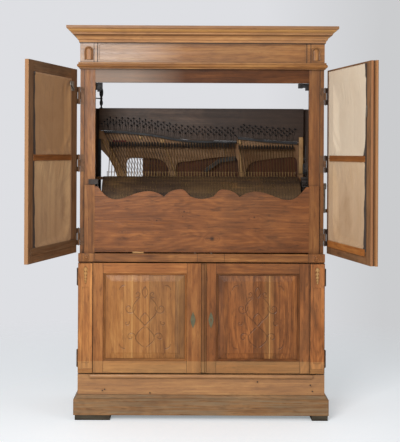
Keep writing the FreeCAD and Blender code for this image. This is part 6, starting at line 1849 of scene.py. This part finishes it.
@dataclass
class Studio:
    """Floor, lamps, surroundings and camera.

    Attributes:
        yaw: Degrees that the camera is turned to the right.
        lens: Its focal length on a frame 36 mm wide.
        shift: How far the picture is shifted to the right and up, as shares of its width.
        backdrop: The colours of the surroundings at the left and at the right.
        darkening: Where that change starts and ends, as the X of the direction seen.
        ambient: Strength of the even light.
    """

    eye: Point = (-0.0764, -6.4758, 1.5666)
    yaw: float = 0.169
    roll: float = 0.264
    lens: float = 85.17
    shift: Span = (0.01765, -0.1532)
    floor_reach: float = 7.0
    backdrop: tuple[Colour, Colour] = (tone(222, 223, 227), tone(203, 204, 206))
    darkening: Span = (0.07, 0.18)
    ambient: float = 0.44

    def floor(self) -> None:
        """Lay a pale floor that fades into the surroundings away from the object."""
        side = np.linspace(-self.floor_reach, self.floor_reach, 3)
        x, y = np.meshgrid(side, side)
        shell = Shell()
        shell.add_grid(spots(x, y, 0.0), closed=False)
        graph = Graph.of_material("floor")
        place = graph.place()
        fade = graph.scaled(graph.measure("LENGTH", place), 1.1, 3.6)
        pale = graph.over((0.80, 0.81, 0.83), (0.83, 0.84, 0.86), graph.noise(place, 60.0, 3.0),
                          0.3, 0.7)
        matt = graph.put("BsdfDiffuse", {"Color": pale})
        clear = graph.put("BsdfTransparent", {"Color": (1.0, 1.0, 1.0)})
        seen = graph.put("LightPath").outputs["Is Camera Ray"]
        lift = graph.put("Emission", {"Color": (0.90, 0.97, 1.0),
                                      "Strength": graph.times(seen, 0.30)})
        lit = graph.put("AddShader", {0: matt.outputs[0], 1: lift.outputs[0]})
        both = graph.put("MixShader", {0: fade, 1: lit.outputs[0], 2: clear.outputs[0]})
        graph.put("OutputMaterial", {"Surface": both.outputs[0]})
        shell.build("floor", graph.owner, outward=False)

    def surroundings(self) -> None:
        """Light everything evenly, and show a pale grey that darkens to the right."""
        graph = Graph(bpy.data.worlds.new("studio"))
        bpy.context.scene.world = graph.owner
        across = graph.parts(graph.put("TexCoord").outputs["Generated"])[0]
        shade = graph.over(*self.backdrop, across, *self.darkening)
        seen = graph.put("Background", {"Color": shade, "Strength": 1.0})
        given = graph.put("Background", {"Color": (0.96, 0.98, 1.0), "Strength": self.ambient})
        rays = graph.put("LightPath").outputs
        mirrored = graph.calc("MAXIMUM", rays["Is Camera Ray"], rays["Is Glossy Ray"])
        mirrored = graph.calc("MAXIMUM", mirrored, rays["Is Transmission Ray"])
        both = graph.put("MixShader", {0: mirrored, 1: given.outputs[0], 2: seen.outputs[0]})
        graph.put("OutputWorld", {"Surface": both.outputs[0]})

    def lamp(self, name: str, place: Point, aim: Point, size: float, power: float) -> None:
        """Hang a square lamp that points at a place.

        Args:
            name: The lamp's name.
            place: Where it hangs.
            aim: What it points at.
            size: The length of its side.
            power: Its power in watts.
        """
        light = bpy.data.lights.new(name, "AREA")
        light.size = size
        light.energy = power
        lamp = bpy.data.objects.new(name, light)
        bpy.context.scene.collection.objects.link(lamp)
        run = np.array(aim) - np.array(place)
        back = -run / np.linalg.norm(run)
        side = np.cross((0.0, 0.0, 1.0), back)
        side /= np.linalg.norm(side)
        turn = Matrix(np.stack([side, np.cross(back, side), back], axis=1).tolist()).to_4x4()
        lamp.matrix_world = Matrix.Translation(place) @ turn

    def camera(self) -> None:
        """Stand the camera where the photograph was taken from."""
        data = bpy.data.cameras.new("camera")
        data.lens = self.lens
        data.sensor_width = 36.0
        data.shift_x, data.shift_y = self.shift
        data.clip_end = 60.0
        camera = bpy.data.objects.new("camera", data)
        bpy.context.scene.collection.objects.link(camera)
        camera.matrix_world = (Matrix.Translation(self.eye)
                               @ Matrix.Rotation(math.radians(-self.yaw), 4, "Z")
                               @ Matrix.Rotation(math.radians(90.0), 4, "X")
                               @ Matrix.Rotation(math.radians(self.roll), 4, "Z"))
        bpy.context.scene.camera = camera

    def build(self) -> None:
        """Set up the studio."""
        self.floor()
        self.surroundings()
        self.lamp("key", (-1.5, -5.3, 2.75), (0.0, 0.0, 1.1), 2.0, 225.0)
        self.lamp("fill", (3.4, -3.4, 2.2), (0.0, 0.0, 1.1), 2.2, 28.0)
        self.camera()
        bpy.context.scene.view_settings.view_transform = "Standard"


def main() -> None:
    """Build every sub-assembly in order."""
    logging.basicConfig(level=logging.INFO, format="%(message)s")
    Case().build()
    brown = (ClothFinish("cloth_brown_lower", tone(193, 150, 103), tone(209, 169, 121),
                         tone(132, 92, 58), staining=0.75, streaks=0.35),
             ClothFinish("cloth_brown_upper", tone(163, 118, 72), tone(176, 132, 87),
                         tone(120, 80, 46), staining=0.7, streaks=0.25))
    cream = (ClothFinish("cloth_cream_lower", tone(213, 181, 143), tone(223, 194, 159),
                         tone(168, 128, 86), staining=0.65, streaks=0.25),
             ClothFinish("cloth_cream_upper", tone(227, 206, 178), tone(233, 214, 188),
                         tone(190, 158, 124), staining=0.4, streaks=0.1))
    UpperDoor(Side.LEFT, tone(184, 138, 108), droop=0.003).build(
        OAK_SHADED, brown, (OAK_SHADED, OAK_BATTEN), HINGE_BRASS)
    right = UpperDoor(Side.RIGHT, tone(182, 126, 94), outer=tone(204, 146, 104), bare=-0.3180,
                      rebate=0.0083, lift=1.25, cloth_hinge=0.695, cloth_top=2.048,
                      gaps=((0.046, 0.007), (0.028, 0.005)), curl=0.030,
                      foot_ends=(0.082, 0.69), middle_ends=(0.0815, 0.665))
    right.build(OAK_SHADED, cream, (WAXED_OAK, OAK_BATTEN), HINGE_DARK)
    LowerDoor(Side.LEFT, (-0.578, -0.085), -0.408).build(
        OAK, ((-0.73, -0.6395), (-0.6395, -0.578), (-0.085, 0.0), (0.0, 0.03)),
        (1.45, 1.1, 0.87, 0.65))
    LowerDoor(Side.RIGHT, (0.0865, 0.578), 0.402).build(
        OAK_WARM, ((0.0, 0.0865), (0.578, 0.6395), (0.6395, 0.73)), (0.95, 1.75, 2.0))
    Harp().build()
    Barrel().build()
    Action().build()
    Studio().build()


if __name__ == "__main__":
    main()
